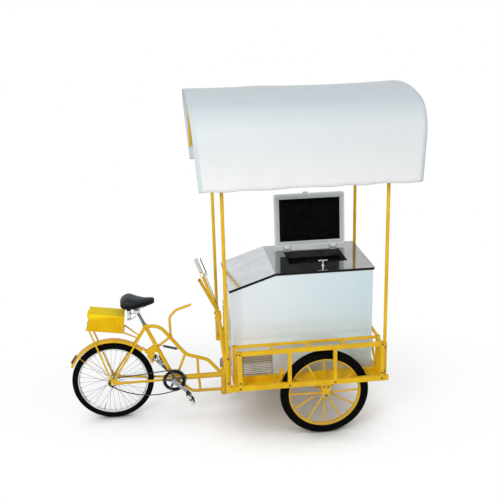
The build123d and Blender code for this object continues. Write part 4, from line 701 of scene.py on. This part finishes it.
cable_finish = mottled("cable_casing", (0.014, 0.014, 0.015), (0.03, 0.03, 0.032), 200.0,
                       gloss=(150.0, 0.35, 0.5))
lever_side = (Vector((1, 0, 0)) - arm_line * arm_line.x).normalized()
cable_start = ARM_END - arm_line * LEVER_BACK + lever_side * LEVER_REACH - arm_line * CASING_BACK
cable_route = [cable_start, spot(860, 52, 908), spot(862, CABLE_Y, 828), spot(908, CABLE_Y, 470),
               spot(915, CABLE_Y, WIRE_Z), spot(944, CABLE_Y, WIRE_Z)]
cable = cord_curve("brake_cable_casing", cable_route, CASING / 2, cable_finish)
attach(cable, "cargo")
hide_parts("brake_cable")
cable_end = bmesh.new()
add_round(cable_end, spot(937, CABLE_Y, WIRE_Z), FORWARD, radius=0.0042, height=0.007, segments=16)
stop_verts = add_block(cable_end, at(spot(950, CABLE_Y, 368.5)), STOP_PLATE)
soften(cable_end, stop_verts, offset=0.0015)
add_round(cable_end, spot(956, CABLE_Y, WIRE_Z), FORWARD, WIRE_RADIUS, WIRE_LENGTH, segments=10)
add_round(cable_end, spot(1269, CABLE_Y, WIRE_Z), FORWARD, radius=0.0035, height=0.007)
fit_piece("brake_cable_end", cable_end, zinc_plate, "cargo")


# Front wheels and front brake
# Each wheel is a steel rim with twelve tube spokes welded to a hub, turning on its fixed axle.
# One cross shaft under the bed carries a shoe for each tyre, and all are sprayed with the bed.
dress(yellow_enamel, "left_front_wheel", "right_front_wheel", "front_brake")


# Tyres and front valves
# Black moulded rubber casings with a raised tread of small blocks, longer ones on the front pair.
# They seat between the rim flanges and hang a little over them, and a rubber valve stands in each front rim.
RIM_EDGE = 0.286
RIM_BED = 0.278
APRON = 0.008
APRON_GAP = 0.0006
APRON_WALL = 0.0030
HEM_WALL = 0.0012
SIDE_RISE = 0.004
BELLY_RISE = 0.002
TREAD_DEPTH = 0.0028
BLOCK_SINK = 0.0005
REAR_RADIUS = 0.325
FRONT_RADIUS = 0.342
VALVE_TURN = math.radians(-64)
VALVE_FOOT = 0.232
VALVE_CAP = 0.224
tyre_rubber, tree, shader = new_finish("tyre_rubber", specular=0.03)
worn = two_tones(tree, surface_noise(tree, 50.0, 4.0), (0.0015, 0.0015, 0.0018), (0.0045, 0.0045, 0.0048))
lay_coat(tree, shader, worn, gloss=(70.0, 0.55, 0.78), grain=(600.0, 0.15, 0.0004), grain_detail=2.0)
soft_rubber = mottled("soft_black_rubber", (0.016, 0.016, 0.017), (0.04, 0.04, 0.042), 90.0,
                      gloss=(130.0, 0.55, 0.75), grain=(500.0, 0.10, 0.0004), specular=0.25)


def make_tyre(wheel, hub, radius, width, bead, flange, rows, count, block):
    shape = bmesh.new()
    side = width / 2
    crown = radius - TREAD_DEPTH
    belly = (crown + RIM_EDGE) / 2 + BELLY_RISE
    lip = flange + APRON_GAP
    hem = RIM_EDGE - APRON
    over_rim = [(RIM_BED, bead), (RIM_EDGE + APRON_GAP, bead), (RIM_EDGE + APRON_GAP, lip), (hem, lip)]
    over_rim.extend([(hem, lip + HEM_WALL), (RIM_EDGE - APRON * 0.6, lip + APRON_WALL)])
    over_rim.append((RIM_EDGE + SIDE_RISE, side * 0.90))
    profile = [(height, -across) for height, across in over_rim]
    for number in range(-7, 8):
        turn = number * math.pi / 15
        profile.append((belly + (crown - belly) * math.cos(turn), side * math.sin(turn)))
    profile.extend(over_rim[::-1])
    profile.append(profile[0])
    lathe(shape, profile, hub, (0, 1, 0), segments=112)
    for number in range(count):
        for row, offset in rows:
            turn = 2 * math.pi * (number + offset) / count
            lean = math.copysign(math.asin(min(0.9, abs(row) / side)), row)
            reach = crown - side * (1 - math.cos(lean)) * 0.75 - BLOCK_SINK
            around = at(hub) @ Matrix.Rotation(turn, 4, "Y")
            stand = around @ at((0, row, reach)) @ Matrix.Rotation(-lean * 0.9, 4, "X")
            add_block(shape, stand, block)
    close_seams(shape, 0.00005)
    piece = fit_piece(wheel + "_tyre_tread", shape, tyre_rubber, wheel + "_wheel", sharp=40)
    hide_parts(wheel + "_tyre")


rear_hub = spot(0, 0, REAR_RADIUS * 1000)
rear_rows = [(-0.0150, 0.0), (-0.0055, 0.5), (0.0055, 0.0), (0.0150, 0.5)]
make_tyre("rear", rear_hub, REAR_RADIUS, width=0.047, bead=0.0128, flange=0.016, rows=rear_rows,
          count=84, block=(0.011, 0.0075, 0.0050))
front_rows = [(-0.0185, 0.5), (-0.0065, 0.0), (0.0065, 0.5), (0.0185, 0.0)]
valve_out = Vector((math.sin(VALVE_TURN), 0, math.cos(VALVE_TURN)))
for side, wheel in ((-1, "right_front"), (1, "left_front")):
    hub = spot(1615, side * 505, FRONT_RADIUS * 1000)
    make_tyre(wheel, hub, FRONT_RADIUS, width=0.058, bead=0.0168, flange=0.020, rows=front_rows,
              count=76, block=(0.016, 0.0085, 0.0050))
    valve = bmesh.new()
    add_round(valve, hub + valve_out * VALVE_FOOT, valve_out, radius=0.0032, height=0.034)
    add_round(valve, hub + valve_out * VALVE_CAP, valve_out, radius=0.0045, height=0.010, top=0.0040)
    fit_piece(wheel + "_valve", valve, soft_rubber, wheel + "_wheel")


# Rear wheel with its nipples and valve
# The axle, hub and rim are chromed steel and the spokes are dull plated wire.
# A small plated nipple screws each spoke to the rim, and the valve stands between two of them.
SPOKE_ROUNDS = 9
SPOKE_SETS = ((0, 1, -1), (20, -1, -1), (10, 1, 1), (30, -1, 1))
SPOKE_LEAD = 60
RIM_REACH = 268
HUB_REACH = 20
NIPPLE_SET = 0.003
REAR_VALVE_TURN = math.radians(250)
REAR_VALVE_FOOT = 0.226
dress(bright_steel, "rear_axle", "rear_hub", "rear_rim")
dull_steel = mottled("dull_plated_steel", (0.12, 0.145, 0.155), (0.25, 0.28, 0.295), 90.0,
                     gloss=(60.0, 0.20, 0.36), grain=(260.0, 0.05, 0.0005), metallic=1.0)
dress(dull_steel, "rear_spokes")
nipples = bmesh.new()
for step in range(SPOKE_ROUNDS):
    for first, lead, flank in SPOKE_SETS:
        rim_turn = math.radians(first + 360 / SPOKE_ROUNDS * step)
        hub_turn = rim_turn + math.radians(SPOKE_LEAD * lead)
        rim_y = flank * (6 if lead > 0 else 2)
        hub_y = flank * (31.5 if lead > 0 else 27.5)
        rim_way = Vector((RIM_REACH * math.cos(rim_turn), rim_y, RIM_REACH * math.sin(rim_turn)))
        hub_way = Vector((HUB_REACH * math.cos(hub_turn), hub_y, HUB_REACH * math.sin(hub_turn)))
        end = rear_hub + rim_way / 1000
        start = rear_hub + hub_way / 1000
        line = (start - end).normalized()
        add_round(nipples, end + line * NIPPLE_SET, line, radius=0.0026, height=0.013, segments=8, top=0.0018)
rear_valve_out = Vector((math.cos(REAR_VALVE_TURN), 0, math.sin(REAR_VALVE_TURN)))
add_round(nipples, rear_hub + rear_valve_out * REAR_VALVE_FOOT, rear_valve_out, radius=0.0030, height=0.040)
fit_piece("rear_nipples", nipples, zinc_plate, "rear_wheel")


# Rear frame, luggage rack and mudguard
# Bicycle tubes welded round the bottom bracket, a tilted rack and a curved sheet guard on wire stays.
# They are sprayed with the bed.
dress(yellow_enamel, "rear_frame", "rear_rack", "mudguard")


# Chainring, freewheel sprocket and chain
# Toothed steel wheels in black paint, and roller chain of half inch pitch in blackened steel.
# Plates riveted over rollers make the chain, which runs straight above and sags below.
PITCH = 12.7
RING_TEETH = 46
SPROCKET_TEETH = 18
RING_CENTRE = Vector((484, 305))
SPROCKET_CENTRE = Vector((0, 325))
CHAIN_Y = -48.5
INNER_PLATE = 2.05
OUTER_PLATE = 3.05
PLATE_RADIUS = 0.0042
PLATE_WAIST = 0.68
PLATE_WALL = 0.0009
ROLLER_RADIUS = 0.0038
ROLLER_LENGTH = 0.0032
PIN_RADIUS = 0.0017
PIN_LENGTH = 0.0080
ring_step = 2 * math.pi / RING_TEETH
ring_radius = PITCH / (2 * math.sin(ring_step / 2))
sprocket_step = 2 * math.pi / SPROCKET_TEETH
sprocket_radius = PITCH / (2 * math.sin(sprocket_step / 2))
rearward = SPROCKET_CENTRE - RING_CENTRE
centre_line = math.atan2(rearward.y, rearward.x)
lean = math.acos((ring_radius - sprocket_radius) / math.hypot(rearward.x, rearward.y))
upper_normal = centre_line - lean
lower_normal = centre_line + lean


def on_wheel(centre, radius, turn):
    return Vector((centre.x + radius * math.cos(turn), centre.y + radius * math.sin(turn)))


top_start = on_wheel(RING_CENTRE, ring_radius, upper_normal)
top_run = on_wheel(SPROCKET_CENTRE, sprocket_radius, upper_normal) - top_start
top_count = int(top_run.length / PITCH) + 1
rollers = [top_start + top_run.normalized() * PITCH * number for number in range(top_count)]
away = rollers[-1] - SPROCKET_CENTRE
reach_squares = sprocket_radius ** 2 + away.length ** 2 - PITCH ** 2
step_turn = math.acos(reach_squares / (2 * sprocket_radius * away.length))
first_turn = math.atan2(away.y, away.x) + step_turn
wrap = int((lower_normal - first_turn + 2 * math.pi) % (2 * math.pi) / sprocket_step) + 1
for number in range(wrap):
    rollers.append(on_wheel(SPROCKET_CENTRE, sprocket_radius, first_turn + sprocket_step * number))
ring_wrap = int(((upper_normal - lower_normal) % (2 * math.pi)) / ring_step)
ring_turns = [upper_normal - ring_step * number for number in range(ring_wrap, 0, -1)]
ring_rollers = [on_wheel(RING_CENTRE, ring_radius, turn) for turn in ring_turns]
place = rollers[-1]
low_run = ring_rollers[0] - place
links = int(low_run.length / PITCH) + 2
if (len(rollers) + len(ring_rollers) + links - 1) % 2:
    links = links + 1
tight = 0.001
slack = 2.0
for step in range(60):
    half_arc = (tight + slack) / 2
    sag_radius = PITCH / (2 * math.sin(half_arc / links))
    if 2 * sag_radius * math.sin(half_arc) > low_run.length:
        tight = half_arc
    else:
        slack = half_arc
run_turn = math.atan2(low_run.y, low_run.x)
for number in range(links - 1):
    heading = run_turn - half_arc + half_arc * (2 * number + 1) / links
    place = place + Vector((math.cos(heading), math.sin(heading))) * PITCH
    rollers.append(place)
rollers.extend(ring_rollers)
chain = bmesh.new()
for number, here in enumerate(rollers):
    there = rollers[(number + 1) % len(rollers)]
    middle = (here + there) / 2
    heading = math.atan2(there.y - here.y, there.x - here.x)
    plate_off = OUTER_PLATE if number % 2 else INNER_PLATE
    for flank in (-1, 1):
        y = CHAIN_Y + flank * plate_off + PLATE_WALL * 500
        plate = bmesh.ops.create_circle(chain, cap_ends=True, segments=12, radius=PLATE_RADIUS)["verts"]
        for vert in plate:
            if abs(vert.co.x) < 0.0003:
                vert.co.y = vert.co.y * PLATE_WAIST
            else:
                vert.co.x = vert.co.x + math.copysign(PITCH / 2000, vert.co.x)
        face = list({face for vert in plate for face in vert.link_faces})
        raised = bmesh.ops.extrude_face_region(chain, geom=face)["geom"]
        lifted = [part for part in raised if isinstance(part, bmesh.types.BMVert)]
        bmesh.ops.translate(chain, verts=lifted, vec=(0, 0, PLATE_WALL))
        upright = Matrix.Rotation(-heading, 4, "Y") @ Matrix.Rotation(math.radians(90), 4, "X")
        stand = at(spot(middle.x, y, middle.y)) @ upright
        bmesh.ops.transform(chain, matrix=stand, verts=plate + lifted)
    roller_start = spot(here.x, CHAIN_Y - ROLLER_LENGTH * 500, here.y)
    pin_start = spot(here.x, CHAIN_Y - PIN_LENGTH * 500, here.y)
    add_round(chain, roller_start, (0, 1, 0), ROLLER_RADIUS, ROLLER_LENGTH, 10)
    add_round(chain, pin_start, (0, 1, 0), PIN_RADIUS, PIN_LENGTH, 8)
face_out(chain)
chain_steel = mottled("blackened_chain_steel", (0.03, 0.028, 0.026), (0.10, 0.095, 0.09), 140.0,
                      gloss=(200.0, 0.30, 0.48), metallic=0.8)
chain_piece = fit_piece("roller_chain", chain, chain_steel, "rear_frame")
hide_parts("chain")
dress(black_steel, "chainring", "freewheel")


# Cranks
# Two forged arms with their spindle and spider, plated and worn, turning in the bottom bracket.
# The spindle and spider are darker than the arms.
ARM_ROOT = 0.0595
WORN_PLATE = (0.24, 0.25, 0.26)
BRIGHT_PLATE = (0.42, 0.43, 0.44)
DARK_PLATE = (0.11, 0.105, 0.10)
crank_steel, tree, shader = new_finish("worn_crank_steel", metallic=1.0)
plating = two_tones(tree, surface_noise(tree, 90.0), WORN_PLATE, BRIGHT_PLATE)
inboard = reckon(tree, "LESS_THAN", reckon(tree, "ABSOLUTE", along(tree, "Y")), ARM_ROOT)
two_plates = blend_colour(tree, inboard, plating, DARK_PLATE)
lay_coat(tree, shader, two_plates, gloss=(60.0, 0.16, 0.34), grain=(260.0, 0.05, 0.0005))
dress(crank_steel, "crank_arms")


# Pedals
# Two rubber treads on a chromed cage, with end plates and a sleeve that turns on the crank's axle.
# Each tread is moulded with cross grooves for grip.
TREAD_X = 0.031
TREAD_CORE = (0.025, 0.084, 0.021)
TREAD_PAD = (0.028, 0.0105, 0.026)
PAD_COUNT = 6
PAD_STEP = 0.014
PAD_START = -0.035
END_PLATE = (0.092, 0.004, 0.022)
END_PLATE_Y = 0.044
SLEEVE_END = 0.046
SLEEVE_LENGTH = 0.092
SLEEVE_BORE = 0.0048
SLEEVE_WAIST = 0.0085
SLEEVE_HEAD = 0.0100


def make_pedal(name, centre, tilt):
    treads = bmesh.new()
    cage = bmesh.new()
    turn = at(centre) @ Matrix.Rotation(math.radians(tilt), 4, "Y")
    for x in (-TREAD_X, TREAD_X):
        add_block(treads, turn @ at((x, 0, 0)), TREAD_CORE)
        for number in range(PAD_COUNT):
            add_block(treads, turn @ at((x, PAD_START + PAD_STEP * number, 0)), TREAD_PAD)
    soften(treads, treads.verts[:], offset=0.0012)
    for y in (-END_PLATE_Y, END_PLATE_Y):
        add_block(cage, turn @ at((0, y, 0)), END_PLATE)
    soften(cage, cage.verts[:], offset=0.0012)
    sleeve = [(SLEEVE_BORE, 0.0), (SLEEVE_HEAD, 0.0), (SLEEVE_HEAD, 0.012), (SLEEVE_WAIST, 0.018)]
    sleeve.extend([(SLEEVE_WAIST, 0.074), (SLEEVE_HEAD, 0.080), (SLEEVE_HEAD, SLEEVE_LENGTH)])
    sleeve.extend([(SLEEVE_BORE, SLEEVE_LENGTH), (SLEEVE_BORE, 0.0)])
    lathe(cage, sleeve, centre - Vector((0, SLEEVE_END, 0)), (0, 1, 0), segments=28)
    for x in (-TREAD_X, TREAD_X):
        for flank in (-1, 1):
            nut = turn @ Vector((x, flank * SLEEVE_END, 0))
            add_round(cage, nut, (0, flank, 0), radius=0.0050, height=0.0025, segments=6)
    close_seams(cage, 0.00002)
    tread_piece = fit_piece(name + "_treads", treads, soft_rubber, name)
    fit_piece(name + "_cage", cage, bright_steel, name)
    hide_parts(name)


make_pedal("right_pedal", spot(604.208, -131, 184.792), tilt=60)
make_pedal("left_pedal", spot(363.792, 131, 425.208), tilt=20)


# Seat post
# A dull plated steel tube that slides in the seat tube of the frame.
# The saddle's clamp grips its head.
dress(dull_steel, "seat_post")


# Saddle
# A sprung saddle with a padded shell, covered in black grained vinyl and drawn tight over its edges.
# It is broad at the rear, narrows to the nose, and sits on two coil springs and two bent rails.
# The blue-grey of the crown is a painted highlight, and the black below it is painted shade.
VINYL_PAINTED_HIGHLIGHT = (0.012, 0.018, 0.021)
WORN_VINYL_PAINTED_HIGHLIGHT = (0.024, 0.033, 0.037)
SHADED_VINYL = (0.0012, 0.0012, 0.0015)
SHADED_FROM = 1.000
SHADED_BELOW = 0.980
SECTIONS = [(101, 44, 964, 1002, 20), (106, 66, 952, 1010, 26), (124, 91, 941, 1026, 32),
            (152, 101, 935, 1037, 36), (174, 100, 934, 1038, 34), (196, 97, 934, 1029, 30),
            (220, 88, 935, 1019, 28), (260, 60, 939, 1010, 20), (300, 38, 944, 1006, 14),
            (340, 26, 954, 1009, 12), (362, 19, 963, 1007, 12), (366, 10, 972, 998, 8)]
saddle = bmesh.new()
loops = []
for x, half, low, high, drop in SECTIONS:
    ring = bmesh.ops.create_circle(saddle, cap_ends=False, segments=20, radius=1.0)["verts"]
    edge_height = high - drop
    for vert in ring:
        across = vert.co.x
        up = vert.co.y
        wide = math.copysign(abs(across) ** 0.7, across)
        if up > 0:
            height = edge_height + drop * up ** 0.9
        else:
            height = edge_height + (edge_height - low) * math.copysign(abs(up) ** 0.6, up)
        vert.co = spot(x, half * wide, height)
    loops.append(list({edge for vert in ring for edge in vert.link_edges}))
for near, far in zip(loops, loops[1:]):
    bmesh.ops.bridge_loops(saddle, edges=near + far)
bmesh.ops.holes_fill(saddle, edges=loops[0] + loops[-1], sides=0)
face_out(saddle)
black_vinyl, tree, shader = new_finish("black_grained_vinyl", specular=0.16)
crown = two_tones(tree, surface_noise(tree, 30.0), VINYL_PAINTED_HIGHLIGHT, WORN_VINYL_PAINTED_HIGHLIGHT)
# Painted shade below the crown's edge, over the painted highlight of the crown.
highlight_and_shade_cover = blend_colour(tree, height_mask(tree, SHADED_FROM, SHADED_BELOW), crown, SHADED_VINYL)
lay_coat(tree, shader, highlight_and_shade_cover, gloss=(40.0, 0.34, 0.46), grain=(420.0, 0.25, 0.0006), grain_detail=2.0)
saddle_piece = fit_piece("padded_saddle", saddle, black_vinyl, "seat", sharp=180)
rounding = saddle_piece.modifiers.new("rounded_cover", "SUBSURF")
rounding.levels = 2
rounding.render_levels = 2
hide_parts("saddle")


# Saddle springs, rails and clamp
# Two steel coil springs under the broad end, two bent rails to the nose and a clamp on the seat post.
# All are chromed, and the clamp is held by one cross bolt.
SPRING_X = 165
SPRING_Y = 60
CUP_FOOT = 859
COIL_FOOT = 866
UPPER_CUP_FOOT = 929
CUP_RADIUS = 0.0165
CLAMP_X = 223.85
CLAMP_Z = 906.43
CLAMP_SIZE = (0.048, 0.060, 0.028)
RAIL_RADIUS = 0.004
UPWARD = (0, 0, 1)


def add_coil(shape, base, direction, radius, length, turns, wire, around, steps):
    stand = at(base) @ facing(direction)
    verts = bmesh.ops.create_circle(shape, cap_ends=True, segments=around, radius=wire / 2)["verts"]
    start = stand @ at((radius, 0, 0)) @ Matrix.Rotation(math.pi / 2, 4, "X")
    bmesh.ops.transform(shape, matrix=start, verts=verts)
    geom = verts + list({part for vert in verts for part in list(vert.link_edges) + list(vert.link_faces)})
    line = stand.to_3x3() @ Vector((0, 0, 1))
    count = turns * steps
    bmesh.ops.spin(shape, geom=geom, cent=base, axis=line, dvec=line * length / count,
                   angle=2 * math.pi * turns, steps=count)


springs = bmesh.new()
for side in (-1, 1):
    add_coil(springs, spot(SPRING_X, side * SPRING_Y, COIL_FOOT), UPWARD, radius=0.013, length=0.064,
             turns=4, wire=0.005, around=12, steps=20)
    for foot, height in ((CUP_FOOT, 0.007), (UPPER_CUP_FOOT, 0.008)):
        add_round(springs, spot(SPRING_X, side * SPRING_Y, foot), UPWARD, CUP_RADIUS, height, segments=28)
    add_bolt(springs, spot(SPRING_X, side * SPRING_Y, CUP_FOOT), (0, 0, -1))
clamp_verts = add_block(springs, at(spot(CLAMP_X, 0, CLAMP_Z)), CLAMP_SIZE)
soften(springs, clamp_verts, offset=0.006, segments=4)
for side in (-1, 1):
    add_bolt(springs, spot(CLAMP_X, side * 30, CLAMP_Z), (0, side, 0))
face_out(springs)
spring_piece = fit_piece("saddle_springs", springs, bright_steel, "seat", sharp=40)
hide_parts("saddle_frame")
for side, name in ((-1, "right"), (1, "left")):
    route = [spot(SPRING_X, side * SPRING_Y, 863), spot(215, side * 40, 863), spot(CLAMP_X, side * 24, 905),
             spot(330, side * 14, 962), spot(345, side * 14, 985)]
    rail = cord_curve(name + "_saddle_rail", route, RAIL_RADIUS, bright_steel)
    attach(rail, "seat")


# Tyre brake with its return spring
# A lever, link and hanging shoe of steel, sprayed with the bed, that press on the rear tyre.
# A closed coil of blackened spring wire from the lever to the frame tube lifts them off again.
HOOK_REAR = 0.033
HOOK_FRONT = 0.027
HOOK_RADIUS = 0.002
COIL_CAP = 0.011
CAP_WALL = 0.003
dress(yellow_enamel, "brake_lever", "brake_link", "brake_shoe")
spring_rear = spot(385, 30, 586)
spring_front = spot(544, 8, 548)
spring_line = (spring_front - spring_rear).normalized()
coil_rear = spring_rear + spring_line * HOOK_REAR
coil_front = spring_front - spring_line * HOOK_FRONT
brake_coil = bmesh.new()
add_coil(brake_coil, coil_rear, spring_line, radius=0.010, length=(coil_front - coil_rear).length,
         turns=15, wire=0.004, around=10, steps=24)
add_round(brake_coil, spring_rear, spring_line, HOOK_RADIUS, height=0.030, segments=10)
add_round(brake_coil, coil_rear - spring_line * CAP_WALL, spring_line, COIL_CAP, CAP_WALL, segments=24)
add_round(brake_coil, coil_front, spring_line, COIL_CAP, CAP_WALL, segments=24)
add_round(brake_coil, coil_front, spring_line, HOOK_RADIUS, HOOK_FRONT, segments=10)
face_out(brake_coil)
coil_piece = fit_piece("tyre_brake_spring", brake_coil, black_steel, "rear_frame", sharp=40)
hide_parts("brake_spring")


# Tool box
# A folded sheet steel box on the rack with a hinged lid, sprayed in the same yellow.
# Its top is a brighter lemon, which is painted light.
LIT_TOP_LEMON = (0.97, 0.68, 0.008)
LIT_TOP_PALE_LEMON = (1.0, 0.75, 0.014)
LIT_TOP_START = 0.885
LIT_TOP_FULL = 0.912
lit_top_box_enamel, tree, shader = new_finish("box_enamel_painted_lit_top", specular=0.05)
coat = two_tones(tree, surface_noise(tree, 9.0), (0.77, 0.43, 0.003), (0.85, 0.52, 0.008))
lit_top_tones = two_tones(tree, surface_noise(tree, 12.0), LIT_TOP_LEMON, LIT_TOP_PALE_LEMON)
# Painted light: the top is brighter than the sides.
lit_top_enamel_tones = blend_colour(tree, height_mask(tree, LIT_TOP_START, LIT_TOP_FULL), coat, lit_top_tones)
lay_coat(tree, shader, lit_top_enamel_tones, gloss=(40.0, 0.42, 0.56), grain=(110.0, 0.08, 0.001), grain_detail=2.0)
dress(lit_top_box_enamel, "tool_box", "toolbox_lid")


# Tail reflector
# A red moulded reflector with rows of small prisms, fixed to the mudguard.
# Its face is hard and glossy.
red_prism = mottled("red_prism_plastic", (0.050, 0.004, 0.006), (0.11, 0.008, 0.010), 80.0,
                    gloss=(60.0, 0.10, 0.20))
weave(red_prism, threads=70.0, strength=0.5, depth=0.002)
dress(red_prism, "tail_reflector")


# Studio floor
# A broad sheet of pale matt paper that takes the object's soft shadow.
# It goes over to plain white away from the object.
FLOOR_HALF = 30.0
PAPER = (0.46, 0.46, 0.46, 1.0)
PALE_FLOOR = (0.85, 0.845, 0.835, 1.0)
SHADE_REACH = 0.6
SHADE_FULL = 0.38
SHADE_NONE = 0.86
GLOW = 0.64
OVAL = (1.0, 1.6, 1.0)
OVAL_START = 1.5
OVAL_END = 2.8
floor_mesh = bmesh.new()
bmesh.ops.create_grid(floor_mesh, x_segments=1, y_segments=1, size=FLOOR_HALF)
floor_data = bpy.data.meshes.new("studio_floor")
floor_mesh.to_mesh(floor_data)
floor_mesh.free()
floor = put_in_scene("studio_floor", floor_data)


def seen_rays(tree):
    rays = add_node(tree, "LightPath", {}).outputs
    mirrored = reckon(tree, "MAXIMUM", rays["Is Camera Ray"], rays["Is Glossy Ray"])
    return reckon(tree, "MAXIMUM", mirrored, rays["Is Transmission Ray"])


def pick_shader(tree, mask, first, second):
    return add_node(tree, "MixShader", {"Fac": mask, 1: first, 2: second}).outputs["Shader"]


floor_finish, tree, shader = new_finish("pale_floor", specular=0.0)
shader.inputs["Base Color"].default_value = PALE_FLOOR
shader.inputs["Roughness"].default_value = 0.9
open_sky = add_node(tree, "AmbientOcclusion", {"Distance": SHADE_REACH})
shaded_glow = fade(tree, open_sky.outputs["AO"], SHADE_FULL, SHADE_NONE, last=GLOW)
glow = add_node(tree, "Emission", {"Strength": shaded_glow})
paper = add_node(tree, "BsdfDiffuse", {"Color": PAPER})
lit_paper = add_node(tree, "AddShader", {0: paper.outputs["BSDF"], 1: glow.outputs["Emission"]})
oval = add_node(tree, "VectorMath", {0: on_object(tree), 1: OVAL})
oval.operation = "MULTIPLY"
reach = add_node(tree, "VectorMath", {0: oval.outputs["Vector"]})
reach.operation = "LENGTH"
white_paper = add_node(tree, "Emission", {})
far_off = fade(tree, reach.outputs["Value"], OVAL_START, OVAL_END)
seen_floor = pick_shader(tree, far_off, lit_paper.outputs["Shader"], white_paper.outputs["Emission"])
floor_surface = pick_shader(tree, seen_rays(tree), shader.outputs["BSDF"], seen_floor)
tree.links.new(floor_surface, tree.nodes["Material Output"].inputs["Surface"])
floor_data.materials.append(floor_finish)


# Studio surround, lights and camera
# One broad soft light beside the camera, a weaker one opposite and an even white surround.
# The camera stands at the height and distance of the photograph.
SURROUND = (0.90, 0.95, 1.0, 1.0)
WHITE_WALL = (1.0, 1.0, 1.0, 1.0)
LAMP_TONE = (1.0, 0.98, 0.95)
EYE = Vector((-0.5465, -6.002, 3.255))
YAW = math.radians(6.41)
PITCH_DOWN = math.radians(17.523)
ROLL = math.radians(-1.56)
SENSOR_WIDTH = 36.0
FOCAL_PIXELS = 812.8
PHOTO_PIXELS = 500
world = bpy.data.worlds.new("studio_surround")
world.use_nodes = True
tree = world.node_tree
surround = tree.nodes["Background"]
surround.inputs["Color"].default_value = SURROUND
surround.inputs["Strength"].default_value = 0.54
white_wall = add_node(tree, "Background", {"Color": WHITE_WALL})
walls = pick_shader(tree, seen_rays(tree), surround.outputs["Background"], white_wall.outputs["Background"])
tree.links.new(walls, tree.nodes["World Output"].inputs["Surface"])
bpy.context.scene.world = world


def soft_light(name, place, aim, size, power):
    lamp = bpy.data.lights.new(name, "AREA")
    lamp.size = size
    lamp.energy = power
    lamp.color = LAMP_TONE
    holder = put_in_scene(name, lamp)
    line = Vector(aim) - Vector(place)
    holder.matrix_world = at(place) @ line.to_track_quat("-Z", "Y").to_matrix().to_4x4()


soft_light("key_light", (-2.8, -5.2, 4.6), (0.1, 0.0, 1.1), size=2.4, power=200.0)
soft_light("fill_light", (4.5, -3.0, 3.5), (0.2, 0.0, 1.1), size=3.0, power=45.0)
aim = Matrix.Rotation(-YAW, 4, "Z") @ Matrix.Rotation(math.pi / 2 - PITCH_DOWN, 4, "X")
view = aim @ Matrix.Rotation(ROLL, 4, "Z")
lens = bpy.data.cameras.new("photo_camera")
lens.sensor_width = SENSOR_WIDTH
lens.lens = FOCAL_PIXELS / PHOTO_PIXELS * SENSOR_WIDTH
camera = put_in_scene("photo_camera", lens)
camera.matrix_world = at(EYE) @ view
bpy.context.scene.camera = camera
bpy.context.scene.view_settings.view_transform = "Standard"
